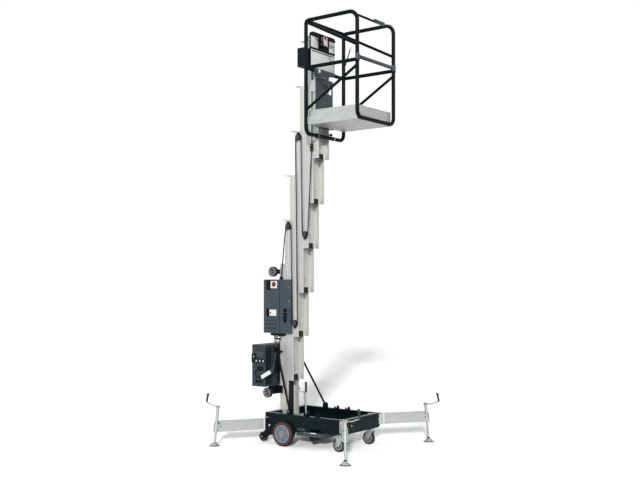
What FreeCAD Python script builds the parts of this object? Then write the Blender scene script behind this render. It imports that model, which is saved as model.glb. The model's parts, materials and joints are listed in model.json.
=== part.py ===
import FreeCAD, Part
import Sketcher
import math
import os
import re

os.makedirs("parts", exist_ok=True)
Vec = FreeCAD.Vector
doc = FreeCAD.newDocument("MastLift")

# Frame: +X from the mast towards the work platform, +Y to the machine's left, +Z up.
# The origin is on the floor, midway between the four outrigger jacks.

# Driving sizes in millimetres, one name each
SIZES = {
    # chassis
    "rail_length": 1030, "chassis_width": 700, "rail_top": 339, "rail_bottom": 188,
    "rail_waist": 212, "drop_bottom": 100, "drop_front": -130, "nose_rear": 240,
    "web_thick": 6, "flange_width": 45, "cross_depth": 50, "deck_thick": 14, "deck_top": 183,
    "deck_front": 80, "front_thick": 12, "corner_cut": 45, "web_cut": 30, "tie_hole": 9, "tie_inset": 90,
    "tray_rear": -110, "tray_front": 240, "tray_half": 322, "tray_height": 44,
    "tray_wall": 4, "clip_width": 22, "clip_drop": 40, "clip_notch": 8, "pin_radius": 9,
    "pin_head": 8,
    # rear wheels on their stub axles
    "wheel_back": 246, "wheel_radius": 133, "wheel_width": 42, "wheel_gap": 6, "hub_radius": 92,
    "tread_round": 7, "hub_dish": 9, "hub_rim": 12, "hub_boss": 26, "rib_width": 9,
    "axle_radius": 12.5, "axle_play": 0.05, "axle_end": 3,
    # small wheels behind, for tipping the lift back
    "tilt_behind": 51, "tilt_inset": 31, "tilt_z": 67, "tilt_radius": 50, "tilt_width": 30,
    "tilt_ear": 5, "tilt_gap": 5, "tilt_reach": 45, "tilt_top": 146, "tilt_edge": 20,
    "tilt_rise": 33,
    # casters
    "caster_setback": 105, "caster_inset": 75, "caster_radius": 69, "caster_width": 32,
    "caster_trail": 34, "caster_plate": 90, "plate_thick": 8, "fork_thick": 5, "fork_clear": 7,
    "fork_foot": 16, "caster_head": 28, "swivel_gap": 0.3,
    # mast: seven nested channels
    "mast_overhang": 9, "mast_width": 200, "section_depth": 120, "section_pitch": 69,
    "section_length": 1760, "last_length": 1180, "section_rise": 481, "box_depth": 61,
    "tongue_depth": 20, "tongue_half": 88, "neck_half": 78, "mast_wall": 6, "lip_half": 84,
    "groove_depth": 2, "groove_width": 4, "pad_gap": 0.5, "pad_length": 90,
    "block_width": 120, "block_height": 58, "block_thick": 8,
    "cap_thick": 3, "cap_overhang": 22, "cap_half": 40,
    # struts that brace the mast
    "strut_radius": 11, "strut_foot_x": -203, "strut_inset": 30, "strut_back": 24,
    "strut_top_y": 175, "strut_top_z": 1000, "strut_lift": 30, "clevis_half": 26,
    "clevis_plate": 6, "strut_ear": 16,
    # power unit and battery pack
    "power_length": 205, "power_width": 270, "power_height": 592, "power_bottom": 1176,
    "power_round": 16, "cheek_length": 184, "cheek_gap": 6, "recess_depth": 22,
    "recess_round": 10, "rib_proud": 6, "scoop_radius": 114, "scoop_ahead": 247, "scoop_up": 187,
    "scoop_depth": 8, "slot_rear": 79, "slot_length": 56, "slot_low": 123, "slot_height": 151,
    "battery_length": 190, "battery_width": 620, "battery_height": 455, "battery_bottom": 600,
    "battery_gap": 32, "battery_round": 14, "battery_hold": 40,
    "strip_thick": 7, "strip_height": 46, "strip_low": 258, "strip_inset": 4, "bump_proud": 5,
    "socket_proud": 14, "front_rib_depth": 5, "front_rib_width": 16, "front_rib_end": 34,
    "rib_round": 26, "rib_first": 32, "rib_step": 44,
    # loading wheels on the back of the mast
    "load_radius": 55, "load_width": 34, "load_low_out": 48, "load_low_y": 240,
    "load_low_z": 533, "load_high_out": 42, "load_high_y": 155, "load_high_z": 1855,
    "load_axle": 8, "load_hub": 30, "load_boss": 3, "load_arm": 25,
    # outriggers
    "jack_x": 850, "jack_y": 790, "socket_back": 53, "front_socket_inset": 58,
    "rear_socket_inset": 141, "beam_height": 112,
    "beam_width": 58, "rear_beam": 150, "front_beam": 220, "beam_wall": 5, "beam_line": 14, "line_width": 3, "socket_gap": 0.3,
    "beam_inside": 60, "sleeve_radius": 28.5, "sleeve_height": 84, "sleeve_groove": 2,
    "collar_inset": 4, "jack_lean": 5, "jack_tube_radius": 15.5, "jack_cap": 8,
    "jack_top": 404, "leg_play": 0.3, "jack_leg_radius": 12.7,
    "jack_leg_top": 290, "foot_radius": 54, "foot_height": 42, "foot_rim": 9,
    "foot_ledge": 8, "foot_neck": 5, "knuckle_length": 44, "knuckle_width": 24,
    "crank_arm": 168, "crank_rise": 30, "crank_radius": 6, "crank_bend": 120,
    "grip_radius": 12.5, "grip_taper": 3, "grip_lean": 12, "grip_length": 94,
    # brake lever
    "lever_x": -62, "lever_inset": 130, "lever_height": 488, "lever_radius": 8, "lever_grip": 12,
    "lever_hold": 110,
    # work platform
    "floor_rear": 50, "floor_length": 609.2, "floor_half": 312, "floor_lift": 324,
    "floor_thick": 26, "toe_height": 147, "toe_thick": 4, "toe_lip": 14, "lug_height": 80,
    "lug_hold": 10, "lug_gap": 0.3,
    "post_out": 19, "post_aside": 28, "tube_radius": 20, "brace_radius": 15,
    "cage_height": 1084, "mid_height": 592, "yoke_drop": 96, "low_height": 16,
    "bend_radius": 70, "top_bend": 100, "low_bend": 75, "low_leg": 160, "brace_start": 14,
    "high_brace": 740,
    "low_brace_rear": 150, "low_brace_front": 537, "bar_radius": 12, "top_bar_drop": 35,
    "gate_height": 619, "gate_radius": 14, "guide_play": 0.3, "guide_wall": 5,
    "guide_height": 60, "stop_height": 12,
    "console_width": 435, "console_near": -256, "console_height": 380, "console_above": 141,
    "console_thick": 14, "console_round": 38, "hood_height": 40, "hood_depth": 12,
    "control_near": -118, "control_width": 82, "control_depth": 67, "control_height": 112,
    "control_low": 236, "ledge_low": 200, "ledge_height": 14, "ledge_depth": 10,
    "bracket_near": -226, "bracket_far": 150, "bracket_low": -105, "bracket_slope": 50,
    "bracket_fold": 10, "bracket_thick": 8,
    "plate_half": 150, "plate_height": 527, "mount_thick": 12, "window_near": -32,
    "window_far": 138, "window_low": 377, "window_height": 86, "anchor_length": 90,
    "anchor_thick": 14, "anchor_height": 128, "anchor_low": 387,
    "box_length": 100, "box_inner": 226, "box_outer": 332, "box_height": 197,
    # cable pulleys on the near side of the mast
    "pulley_radius": 33, "pulley_width": 14, "pulley_drop": 78, "pulley_lift": 150,
    "pulley_gap": 6, "high_pulley_x": 66, "low_pulley_x": 90, "pulley_pin": 6,
    "pulley_plate": 4, "pulley_clear": 8, "bridge_height": 22,
}

# Places that follow from the sizes, and that several pieces share
PLACES = {
    "rear_end": "-rail_length / 2",
    "mast_rear": "-rail_length / 2 - mast_overhang",
    "mast_front": "-rail_length / 2 - mast_overhang + 6 * section_pitch + section_depth",
    "wheel_x": "-wheel_back",
    "tilt_x": "-rail_length / 2 - tilt_behind",
    "tilt_y": "chassis_width / 2 - tilt_inset",
    "caster_x": "rail_length / 2 - caster_setback",
    "caster_y": "chassis_width / 2 - caster_inset",
    "socket_x": "rail_length / 2 - socket_back",
    "front_socket_y": "chassis_width / 2 - front_socket_inset",
    "rear_socket_y": "chassis_width / 2 - rear_socket_inset",
    "strut_foot_y": "chassis_width / 2 - strut_inset",
    "strut_top_x": "-rail_length / 2 - mast_overhang + strut_back",
    "lever_y": "-chassis_width / 2 + lever_inset",
    "load_low_x": "-rail_length / 2 - mast_overhang - load_low_out",
    "load_high_x": "-rail_length / 2 - mast_overhang - load_high_out",
    "floor_front": "floor_rear + floor_length",
    "floor_bottom": "deck_top + 6 * section_rise + floor_lift",
    "toe_top": "deck_top + 6 * section_rise + floor_lift + toe_height",
    "cage_rear": "floor_rear - post_out",
    "cage_front": "floor_rear + floor_length + lug_gap + tube_radius",
    "cage_half": "floor_half + post_aside",
    "top_rail": "deck_top + 6 * section_rise + floor_lift + cage_height",
    "mid_rail": "deck_top + 6 * section_rise + floor_lift + mid_height",
    "under_rail": "deck_top + 6 * section_rise + floor_lift - yoke_drop",
    "front_rail": "deck_top + 6 * section_rise + floor_lift + low_height",
    "gate_z": "deck_top + 6 * section_rise + floor_lift + gate_height",
    "console_top": "deck_top + 6 * section_rise + last_length + console_above",
    "console_low": "deck_top + 6 * section_rise + last_length + console_above - console_height",
}

sheet = doc.addObject("Spreadsheet::Sheet", "Dimensions")
for row, (name, number) in enumerate(SIZES.items(), start=1):
    sheet.set("A%d" % row, name)
    sheet.set("B%d" % row, str(number))
    sheet.setAlias("B%d" % row, name)
doc.recompute()
dim = {name: float(sheet.get(name)) for name in SIZES}

nodes = {}


def linked(formula):
    """A formula in size names, with each name pointed at the sheet or at the places."""
    def owner(word):
        return ("Places." if word.group() in PLACES else "Dimensions.") + word.group()
    return re.sub(r"[a-z]+(_[a-z]+)+", owner, str(formula))


places = doc.addObject("App::VarSet", "Places")
for name, formula in PLACES.items():
    places.addProperty("App::PropertyFloat", name)
    places.setExpression(name, linked(formula))
doc.recompute()
for name in PLACES:
    dim[name] = getattr(places, name)


def bind(thing, prop, formula):
    thing.setExpression(prop, linked(formula))


def place(thing, x, y, z, rotation=None):
    if rotation:
        thing.Placement = FreeCAD.Placement(Vec(), rotation)
    for axis, formula in zip("xyz", (x, y, z)):
        bind(thing, "Placement.Base." + axis, formula)
    return thing


def box(name, size, corner):
    solid = doc.addObject("Part::Box", name)
    for prop, formula in zip(("Length", "Width", "Height"), size):
        bind(solid, prop, formula)
    return place(solid, *corner)


TURNS = {
    "x": FreeCAD.Rotation(Vec(0, 1, 0), 90),
    "y": FreeCAD.Rotation(Vec(1, 0, 0), -90),
    "z": FreeCAD.Rotation(),
}


def rod(name, radius, length, start, axis="z"):
    """A cylinder from start along one of the frame's axes."""
    solid = doc.addObject("Part::Cylinder", name)
    bind(solid, "Radius", radius)
    bind(solid, "Height", length)
    return place(solid, *start, rotation=TURNS[axis])


def fuse(name, pieces):
    solid = doc.addObject("Part::MultiFuse", name)
    solid.Shapes = pieces
    return solid


def cut(name, base, tool):
    solid = doc.addObject("Part::Cut", name)
    solid.Base = base
    solid.Tool = tool
    return solid


def feature(name, shape):
    solid = doc.addObject("Part::Feature", name)
    solid.Shape = shape
    return solid


def node(label, thing):
    thing.Label = label
    nodes[label] = thing
    return thing


def plane(body, role):
    return [item for item in body.Origin.OriginFeatures if item.Role == role][0]


def outline(body, name, role, loops):
    """A sketch of closed polygons whose corners are formulas."""
    sketch = body.newObject("Sketcher::SketchObject", name)
    sketch.AttachmentSupport = [(plane(body, role), "")]
    sketch.MapMode = "FlatFace"
    for loop in loops:
        first = sketch.GeometryCount
        count = len(loop)
        flat = [(100.0 * math.cos(k), 100.0 * math.sin(k)) for k in range(count)]
        for k in range(count):
            a, b = flat[k], flat[(k + 1) % count]
            sketch.addGeometry(Part.LineSegment(Vec(a[0], a[1], 0), Vec(b[0], b[1], 0)), False)
        for k in range(count):
            after = first + (k + 1) % count
            sketch.addConstraint(Sketcher.Constraint("Coincident", first + k, 2, after, 1))
        for k, corner in enumerate(loop):
            for kind, formula in zip(("DistanceX", "DistanceY"), corner):
                index = sketch.addConstraint(Sketcher.Constraint(kind, -1, 1, first + k, 1, 1.0))
                sketch.setExpression("Constraints[%d]" % index, linked(formula))
    return sketch


def padded(name, role, loops, length, start):
    """A body: one padded outline, set at its place."""
    body = doc.addObject("PartDesign::Body", name)
    sketch = outline(body, name + "Outline", role, loops)
    pad = body.newObject("PartDesign::Pad", name + "Pad")
    pad.Profile = sketch
    bind(pad, "Length", length)
    return place(body, *start)


def both_sides(half):
    """The corners of one half, then their mirror images back to the start."""
    other = [(x, "-(%s)" % y) for x, y in reversed(half)]
    return half + other


def edges_along(shape, direction):
    """The straight edges of a shape that run along a direction."""
    found = []
    for edge in shape.Edges:
        if isinstance(edge.Curve, Part.Line) and abs(edge.tangentAt(0).dot(direction)) > 0.999:
            found.append(edge)
    return found


def rounded_box(size, corner, radius, direction):
    """A box whose four edges along a direction are rounded."""
    block = Part.makeBox(*size, corner)
    return block.makeFillet(radius, edges_along(block, direction))


def bent_tube(points, radii, radius):
    """A round tube along straight runs, with an arc of each given radius at each inner point."""
    edges = []
    cursor = points[0]
    for k in range(1, len(points) - 1):
        before = (points[k - 1] - points[k]).normalize()
        after = (points[k + 1] - points[k]).normalize()
        half = before.getAngle(after) / 2
        cutback = radii[k - 1] / math.tan(half)
        centre = points[k] + (before + after).normalize() * (radii[k - 1] / math.sin(half))
        enter = points[k] + before * cutback
        leave = points[k] + after * cutback
        middle = centre + (points[k] - centre).normalize() * radii[k - 1]
        edges.append(Part.LineSegment(cursor, enter).toShape())
        edges.append(Part.Arc(enter, middle, leave).toShape())
        cursor = leave
    edges.append(Part.LineSegment(cursor, points[-1]).toShape())
    wire = Part.Wire(edges)
    start = (edges[0].Vertexes[1].Point - edges[0].Vertexes[0].Point).normalize()
    ring = Part.Wire([Part.Circle(points[0], start, radius).toShape()])
    return wire.makePipeShell([ring], True, False)


def straight(a, b, radius):
    return Part.makeCylinder(radius, (b - a).Length, a, b - a)


# Chassis: two side plates with flanges, cross members, the mast's deck and four corner sockets
SIDES = (("right", -1), ("left", 1))

plate_outline = [
    ("rear_end", "rail_top"), ("rail_length / 2", "rail_top"),
    ("rail_length / 2", "rail_bottom + web_cut"), ("rail_length / 2 - web_cut", "rail_bottom"),
    ("nose_rear", "rail_bottom"), ("nose_rear - 25", "rail_waist"),
    ("drop_front + 60", "rail_waist"), ("drop_front", "drop_bottom"),
    ("rear_end + 20", "drop_bottom"), ("rear_end", "drop_bottom + 20"),
]
frame_parts = []
for side, sign in SIDES:
    web_y = "-chassis_width / 2 + web_thick" if sign < 0 else "chassis_width / 2"
    frame_parts.append(padded("Web" + side, "XZ_Plane", [plate_outline], "web_thick",
                              (0, web_y, 0)))
    low_y = "-chassis_width / 2" if sign < 0 else "chassis_width / 2 - flange_width"
    flange = box("TopFlange" + side, ("rail_length", "flange_width", "web_thick"),
                 ("rear_end", low_y, "rail_top - web_thick"))
    hole = rod("TieHole" + side, "tie_hole", "2 * web_thick",
               ("rear_end + tie_inset", low_y + " + flange_width / 2", "rail_top - 2 * web_thick"))
    frame_parts.append(cut("RailFlange" + side, flange, hole))
    frame_parts.append(box("NoseFlange" + side,
                           ("rail_length / 2 - web_cut - nose_rear", "flange_width", "web_thick"),
                           ("nose_rear", low_y, "rail_bottom")))
inner_width = "(chassis_width - 2 * web_thick)"
inner_side = "-chassis_width / 2 + web_thick"
frame_parts.append(box("Deck", ("deck_front + rail_length / 2", inner_width, "deck_thick"),
                       ("rear_end", inner_side, "deck_top - deck_thick")))
front_outline = both_sides([
    ("rail_top", "chassis_width / 2"), ("rail_bottom + corner_cut", "chassis_width / 2"),
    ("rail_bottom + corner_cut / 2", "chassis_width / 2 - corner_cut / 3"),
    ("rail_bottom", "chassis_width / 2 - corner_cut"),
])
front_outline = [(y, z) for z, y in front_outline]
frame_parts.append(padded("FrontPlate", "YZ_Plane", [front_outline], "front_thick",
                          ("rail_length / 2 - front_thick", 0, 0)))
frame_parts.append(box("FrontFlange", ("cross_depth", "chassis_width", "web_thick"),
                       ("rail_length / 2 - cross_depth", "-chassis_width / 2",
                        "rail_top - web_thick")))
frame_parts.append(box("MidCross", ("cross_depth", inner_width, "rail_waist - deck_top + 20"),
                       ("deck_front - cross_depth", inner_side, "deck_top")))
for side, sign in SIDES:
    low_y = "-chassis_width / 2" if sign < 0 else "mast_width / 2 + 20"
    frame_parts.append(box("RearCross" + side,
                           ("cross_depth", "chassis_width / 2 - mast_width / 2 - 20",
                            "rail_top - deck_top"),
                           ("rear_end", low_y, "deck_top")))
CORNERS = (
    # name, fore or aft, side, height of the beam's underside
    ("rear_right", -1, -1, dim["rear_beam"]),
    ("rear_left", -1, 1, dim["rear_beam"]),
    ("front_right", 1, -1, dim["front_beam"]),
    ("front_left", 1, 1, dim["front_beam"]),
)


def beam_run(fore):
    """How far a beam runs along X and along Y from its socket to its jack."""
    socket_y = dim["front_socket_y"] if fore > 0 else dim["rear_socket_y"]
    return dim["jack_x"] - dim["socket_x"], dim["jack_y"] - socket_y


def beam_turn(fore, sign):
    """The turn about Z that lays +X along a corner's beam."""
    run, reach = beam_run(fore)
    return math.degrees(math.atan2(sign * reach, fore * run))


def square_beam(length):
    """A square tube along X, its bottom at z 0, with a line along both sides below its top."""
    width, height, wall = dim["beam_width"], dim["beam_height"], dim["beam_wall"]
    rear = Vec(-dim["beam_inside"], -width / 2, 0)
    tube = Part.makeBox(length, width, height, rear)
    tube = tube.cut(Part.makeBox(length, width - 2 * wall, height - 2 * wall,
                                 rear + Vec(0, wall, wall)))
    for y in (-width / 2 - dim["line_width"] / 2, width / 2 - dim["line_width"] / 2):
        tube = tube.cut(Part.makeBox(length, dim["line_width"], dim["line_width"],
                                     Vec(-dim["beam_inside"], y, height - dim["beam_line"])))
    return tube


def at_corner(shape, fore, sign, z):
    run, reach = beam_run(fore)
    placed = shape.copy()
    placed.Placement = FreeCAD.Placement(
        Vec(fore * (dim["jack_x"] - run), sign * (dim["jack_y"] - reach), z),
        FreeCAD.Rotation(Vec(0, 0, 1), beam_turn(fore, sign)))
    return placed


def splayed(shape, fore, sign):
    """A piece of a jack, leaned about its foot so that its head is nearer the chassis."""
    turn = math.radians(beam_turn(fore, sign))
    leaned = shape.copy()
    leaned.rotate(Vec(fore * dim["jack_x"], sign * dim["jack_y"], 0),
                  Vec(-math.sin(turn), math.cos(turn), 0), -dim["jack_lean"])
    return leaned


frame_raw = fuse("FrameParts", frame_parts)
doc.recompute()

# Sockets where the outrigger beams pass through the corners, and the axle's holes
gap = dim["socket_gap"]
frame_shape = frame_raw.Shape
for corner, fore, sign, level in CORNERS:
    room = Part.makeBox(math.hypot(*beam_run(fore)), dim["beam_width"] + 2 * gap,
                        dim["beam_height"] + 2 * gap,
                        Vec(-dim["beam_inside"] - gap, -dim["beam_width"] / 2 - gap, -gap))
    frame_shape = frame_shape.cut(at_corner(room, fore, sign, level))
axle_room = Part.makeCylinder(dim["axle_radius"], dim["chassis_width"],
                              Vec(dim["wheel_x"], -dim["chassis_width"] / 2, dim["wheel_radius"]),
                              Vec(0, 1, 0))
node("chassis_frame", feature("ChassisFrame", frame_shape.cut(axle_room)))

# On the chassis: the tray hung under its deck, clips that hold the stowed beams, and the pins
# that lock the beams in their sockets
CLIPS = (
    # side, rear end, length, rise above the rail
    (-1, -27, 66, 49), (-1, 118, 52, 40), (1, -57, 55, 39), (1, 92, 53, 39),
)
clips = []
for index, (sign, rear, length, rise) in enumerate(CLIPS):
    low_y = "chassis_width / 2 - flange_width" if sign < 0 else "flange_width - chassis_width / 2"
    profile = [
        (0, "rail_top - clip_drop"), (length, "rail_top - clip_drop"),
        (length, "rail_top + %g" % (rise * 0.8)), (length * 0.7, "rail_top + %g" % rise),
        (length * 0.55, "rail_top + clip_notch"), (length * 0.3, "rail_top + clip_notch"),
        (0, "rail_top + %g" % (rise * 0.7)),
    ]
    face = "chassis_width / 2 - flange_width" if sign > 0 else (
        "clip_width - chassis_width / 2 + flange_width")
    clips.append(padded("Clip%d" % index, "XZ_Plane", [profile], "clip_width", (rear, face, 0)))
node("rail_clips", fuse("RailClips", clips))
tray_outer = box("TrayOuter", ("tray_front - tray_rear", "2 * tray_half", "tray_height"),
                 ("tray_rear", "-tray_half", "deck_top - deck_thick - tray_height"))
tray_room = box("TrayRoom", ("tray_front - tray_rear - 2 * tray_wall",
                             "2 * tray_half - 2 * tray_wall", "tray_height"),
                ("tray_rear + tray_wall", "tray_wall - tray_half",
                 "deck_top - deck_thick - tray_height + tray_wall"))
node("under_tray", cut("Tray", tray_outer, tray_room))
PINS = (
    # name, x, y, z, axis
    ("rear", "rear_end + 63", "-chassis_width / 2 - pin_head", "rail_bottom + 15", "y"),
    ("front right", "rail_length / 2", "-chassis_width / 2 + 141", "rail_bottom + 80", "x"),
    ("front left", "rail_length / 2", "chassis_width / 2 - 52", "rail_bottom + 87", "x"),
)
pins = []
for name, x, y, z, axis in PINS:
    pins.append(rod("Pin " + name, "pin_radius", "pin_head", (x, y, z), axis))
node("socket_pins", fuse("SocketPins", pins))

# Outrigger beams: square aluminium tubes from the corner sockets to the jacks.
# Jacks: a fixed tube with its crank, and a leg and foot that slide in it.
beams = []
tubes = []
cranks = []
for corner, fore, sign, level in CORNERS:
    x = fore * dim["jack_x"]
    y = sign * dim["jack_y"]
    head_shift = (level + dim["sleeve_height"]) * math.sin(math.radians(dim["jack_lean"]))
    beam_end = (math.hypot(*beam_run(fore)) - head_shift - dim["sleeve_radius"]
                - dim["socket_gap"])
    beams.append(at_corner(square_beam(beam_end + dim["beam_inside"]), fore, sign, level))
    bottom = Vec(x, y, level)
    sleeve = Part.makeCylinder(dim["sleeve_radius"], dim["sleeve_height"], bottom)
    for step in (0.25, 0.5, 0.75):
        groove = Part.makeTorus(dim["sleeve_radius"], dim["sleeve_groove"], bottom
                                + Vec(0, 0, step * dim["sleeve_height"]))
        sleeve = sleeve.cut(groove)
    tube = Part.makeCylinder(dim["jack_tube_radius"], dim["jack_top"] - level, bottom)
    bore = Part.makeCylinder(dim["jack_leg_radius"] + dim["leg_play"],
                             dim["jack_top"] - dim["jack_cap"], Vec(x, y, 0))
    collar = at_corner(Part.makeBox(dim["sleeve_radius"],
                                    dim["beam_width"] - 2 * dim["collar_inset"],
                                    dim["sleeve_height"],
                                    Vec(beam_end, dim["collar_inset"] - dim["beam_width"] / 2, 0)),
                       fore, sign, level)
    tubes.append(splayed(tube.fuse(sleeve), fore, sign).fuse(collar)
                 .cut(splayed(bore, fore, sign)).removeSplitter())
    leg_bottom = dim["foot_height"] - dim["crank_radius"]
    leg = Part.makeCylinder(dim["jack_leg_radius"], dim["jack_leg_top"] - leg_bottom,
                            Vec(x, y, leg_bottom))
    foot = Part.makeCylinder(dim["foot_radius"], dim["foot_rim"], Vec(x, y, 0))
    dome = Part.makeCone(dim["foot_radius"] - dim["foot_ledge"],
                         dim["jack_leg_radius"] + dim["foot_neck"],
                         dim["foot_height"] - dim["foot_rim"], Vec(x, y, dim["foot_rim"]))
    node("jack_leg_" + corner,
         feature("JackLeg" + corner, splayed(leg, fore, sign).fuse([foot, dome])))
    head = Vec(x, y, dim["jack_top"] + dim["knuckle_width"] / 2)
    bend = head + Vec(fore * dim["crank_arm"] * 0.45, 0, 0)
    hand = head + Vec(fore * dim["crank_arm"], 0, dim["crank_rise"])
    knuckle = rounded_box((dim["knuckle_length"], dim["knuckle_width"], dim["knuckle_width"]),
                          Vec(x - dim["knuckle_length"] / 2, y - dim["knuckle_width"] / 2,
                              dim["jack_top"]), dim["foot_neck"], Vec(0, 0, 1))
    arm = bent_tube([head, bend, hand], [dim["crank_bend"]], dim["crank_radius"])
    end = Part.makeSphere(dim["crank_radius"] + 1, hand)
    lean = Vec(-fore * dim["grip_lean"], 0, dim["grip_length"])
    grip = Part.makeCone(dim["grip_radius"] - dim["grip_taper"], dim["grip_radius"],
                         dim["grip_length"], hand, lean)
    grip = grip.makeFillet(dim["grip_taper"],
                           [edge for edge in grip.Edges if isinstance(edge.Curve, Part.Circle)])
    cranks.append(splayed(arm.fuse([knuckle, end, grip]), fore, sign))
node("outrigger_beams", feature("Beams", Part.makeCompound(beams)))
node("jack_tubes", feature("JackTubes", Part.makeCompound(tubes)))
node("jack_cranks", feature("JackCranks", Part.makeCompound(cranks)))

# Mast: each channel has a closed box behind, whose tongue the channel before it holds,
# and side walls with lips in front
section_half = [
    (0, "tongue_half"), ("tongue_depth", "tongue_half"), ("tongue_depth", "neck_half"),
    ("box_depth - mast_wall", "neck_half"), ("box_depth - mast_wall", "mast_width / 2"),
    ("box_depth + 14", "mast_width / 2"),
    ("box_depth + 14", "mast_width / 2 - groove_depth"),
    ("box_depth + 14 + groove_width", "mast_width / 2 - groove_depth"),
    ("box_depth + 14 + groove_width", "mast_width / 2"),
    ("section_depth - 18 - groove_width", "mast_width / 2"),
    ("section_depth - 18 - groove_width", "mast_width / 2 - groove_depth"),
    ("section_depth - 18", "mast_width / 2 - groove_depth"),
    ("section_depth - 18", "mast_width / 2"),
    ("section_depth", "mast_width / 2"), ("section_depth", "lip_half"),
    ("section_depth - mast_wall", "lip_half"),
    ("section_depth - mast_wall", "mast_width / 2 - mast_wall"),
    ("box_depth", "mast_width / 2 - mast_wall"),
]
for index in range(7):
    back = "mast_rear + %d * section_pitch" % index
    length = "section_length" if index < 6 else "last_length"
    hollows = []
    for sign in (1, -1):
        ys = ("mast_wall / 2", "neck_half - mast_wall")
        low, high = ys if sign > 0 else ("-(neck_half - mast_wall)", "-mast_wall / 2")
        hollows.append([("mast_wall", low), ("box_depth - mast_wall", low),
                        ("box_depth - mast_wall", high), ("mast_wall", high)])
    bottom = "deck_top + %d * section_rise" % index
    label = "mast_base" if index == 0 else "mast_section_%d" % index
    node(label, padded("Section%d" % index, "XY_Plane", [both_sides(section_half)] + hollows,
                       length, (back, 0, bottom)))
    if index == 0:
        continue
    # slide pads at the foot of the channel, beside its neck, the foot block in front, the cap
    # on its head, and on four sections a cable pulley between two cheeks on the near side
    fittings = []
    for side, sign in SIDES:
        low_y = "neck_half" if sign > 0 else "-(mast_width / 2 - mast_wall - pad_gap)"
        fittings.append(box("Pad%d%s" % (index, side),
                        ("section_depth - mast_wall - section_pitch - tongue_depth - pad_gap",
                         "mast_width / 2 - mast_wall - pad_gap - neck_half", "pad_length"),
                        (back + " + tongue_depth", low_y, bottom)))
    fittings.append(box("FootBlock%d" % index, ("block_thick", "block_width", "block_height"),
                        (back + " + box_depth", "-block_width / 2", bottom)))
    if index < 6:
        fittings.append(box("Cap%d" % index, ("cap_overhang + box_depth - mast_wall",
                                              "2 * cap_half", "cap_thick"),
                            (back + " - cap_overhang", "-cap_half",
                             bottom + " + section_length")))
    if index < 5:
        high = index % 2
        z = bottom + (" + section_length - pulley_drop" if high else " + pulley_lift")
        x = back + (" + high_pulley_x" if high else " + low_pulley_x")
        face = "-mast_width / 2 - pulley_gap - pulley_width"
        fittings.append(rod("Pulley%d" % index, "pulley_radius", "pulley_width",
                            (x, face, z), "y"))
        fittings.append(rod("PulleyPin%d" % index, "pulley_pin",
                            "pulley_gap + pulley_width + pulley_clear",
                            (x, face + " - pulley_clear", z), "y"))
        cheek_z = z + (" - pulley_pin * 2" if high else " - pulley_radius - bridge_height")
        cheek_rise = "pulley_radius + bridge_height + pulley_pin * 2"
        fittings.append(box("PulleyCheek%d" % index,
                            ("4 * pulley_pin", "pulley_plate", cheek_rise),
                            (x + " - 2 * pulley_pin", face + " - pulley_clear / 2", cheek_z)))
        bridge_z = z + (" + pulley_radius + pulley_clear / 2" if high
                        else " - pulley_radius - bridge_height")
        fittings.append(box("PulleyBridge%d" % index,
                            ("4 * pulley_pin", "pulley_gap + pulley_width + pulley_clear / 2",
                             "bridge_height - pulley_clear / 2"),
                            (x + " - 2 * pulley_pin", face + " - pulley_clear / 2", bridge_z)))
    node("section_fittings_%d" % index, fuse("Fittings%d" % index, fittings))
# Struts between clevises on the rails and ears on the mast
struts = []
foot = Vec(dim["strut_foot_x"], dim["strut_foot_y"], dim["rail_top"] + dim["strut_lift"])
top = Vec(dim["strut_top_x"], dim["strut_top_y"], dim["strut_top_z"])
clevis_round = dim["clevis_half"]
clevis_wide = 2 * (dim["strut_radius"] + dim["clevis_plate"])
for side, sign in SIDES:
    low = Vec(foot.x, sign * foot.y, foot.z)
    high = Vec(top.x, sign * top.y, top.z)
    strut = Part.makeCylinder(dim["strut_radius"], (high - low).Length, low, high - low)
    clevis = Part.makeBox(2 * clevis_round, clevis_wide, dim["strut_lift"],
                          Vec(low.x - clevis_round, low.y - clevis_wide / 2, dim["rail_top"]))
    crown = Part.makeCylinder(clevis_round, clevis_wide, Vec(low.x, low.y - clevis_wide / 2, low.z),
                              Vec(0, 1, 0))
    slot = Part.makeBox(2 * clevis_round, 2 * dim["strut_radius"] + 2, 2 * clevis_round,
                        Vec(low.x - clevis_round, low.y - dim["strut_radius"] - 1,
                            dim["rail_top"] + 8))
    pin = Part.makeCylinder(dim["strut_radius"] / 2, clevis_wide + 10,
                            Vec(low.x, low.y - clevis_wide / 2 - 5, low.z), Vec(0, 1, 0))
    eye = Part.makeCylinder(dim["strut_radius"] + 5, 2 * dim["strut_radius"],
                            Vec(low.x, low.y - dim["strut_radius"], low.z), Vec(0, 1, 0))
    ear_high = Part.makeBox(2 * dim["strut_back"], dim["strut_ear"], 2 * dim["strut_lift"],
                            Vec(high.x - dim["strut_back"], high.y - dim["strut_ear"] / 2,
                                high.z - dim["strut_lift"]))
    wing_y = dim["mast_width"] / 2 if sign > 0 else -abs(high.y) - dim["strut_ear"] / 2
    wing = Part.makeBox(2 * dim["strut_back"], abs(high.y) + dim["strut_ear"] / 2
                        - dim["mast_width"] / 2, dim["strut_ear"],
                        Vec(high.x - dim["strut_back"], wing_y, high.z - dim["strut_lift"]))
    struts.append(clevis.fuse(crown).cut(slot).fuse([pin, eye, strut, ear_high, wing]))
node("mast_struts", feature("Struts", Part.makeCompound(struts)))

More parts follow.
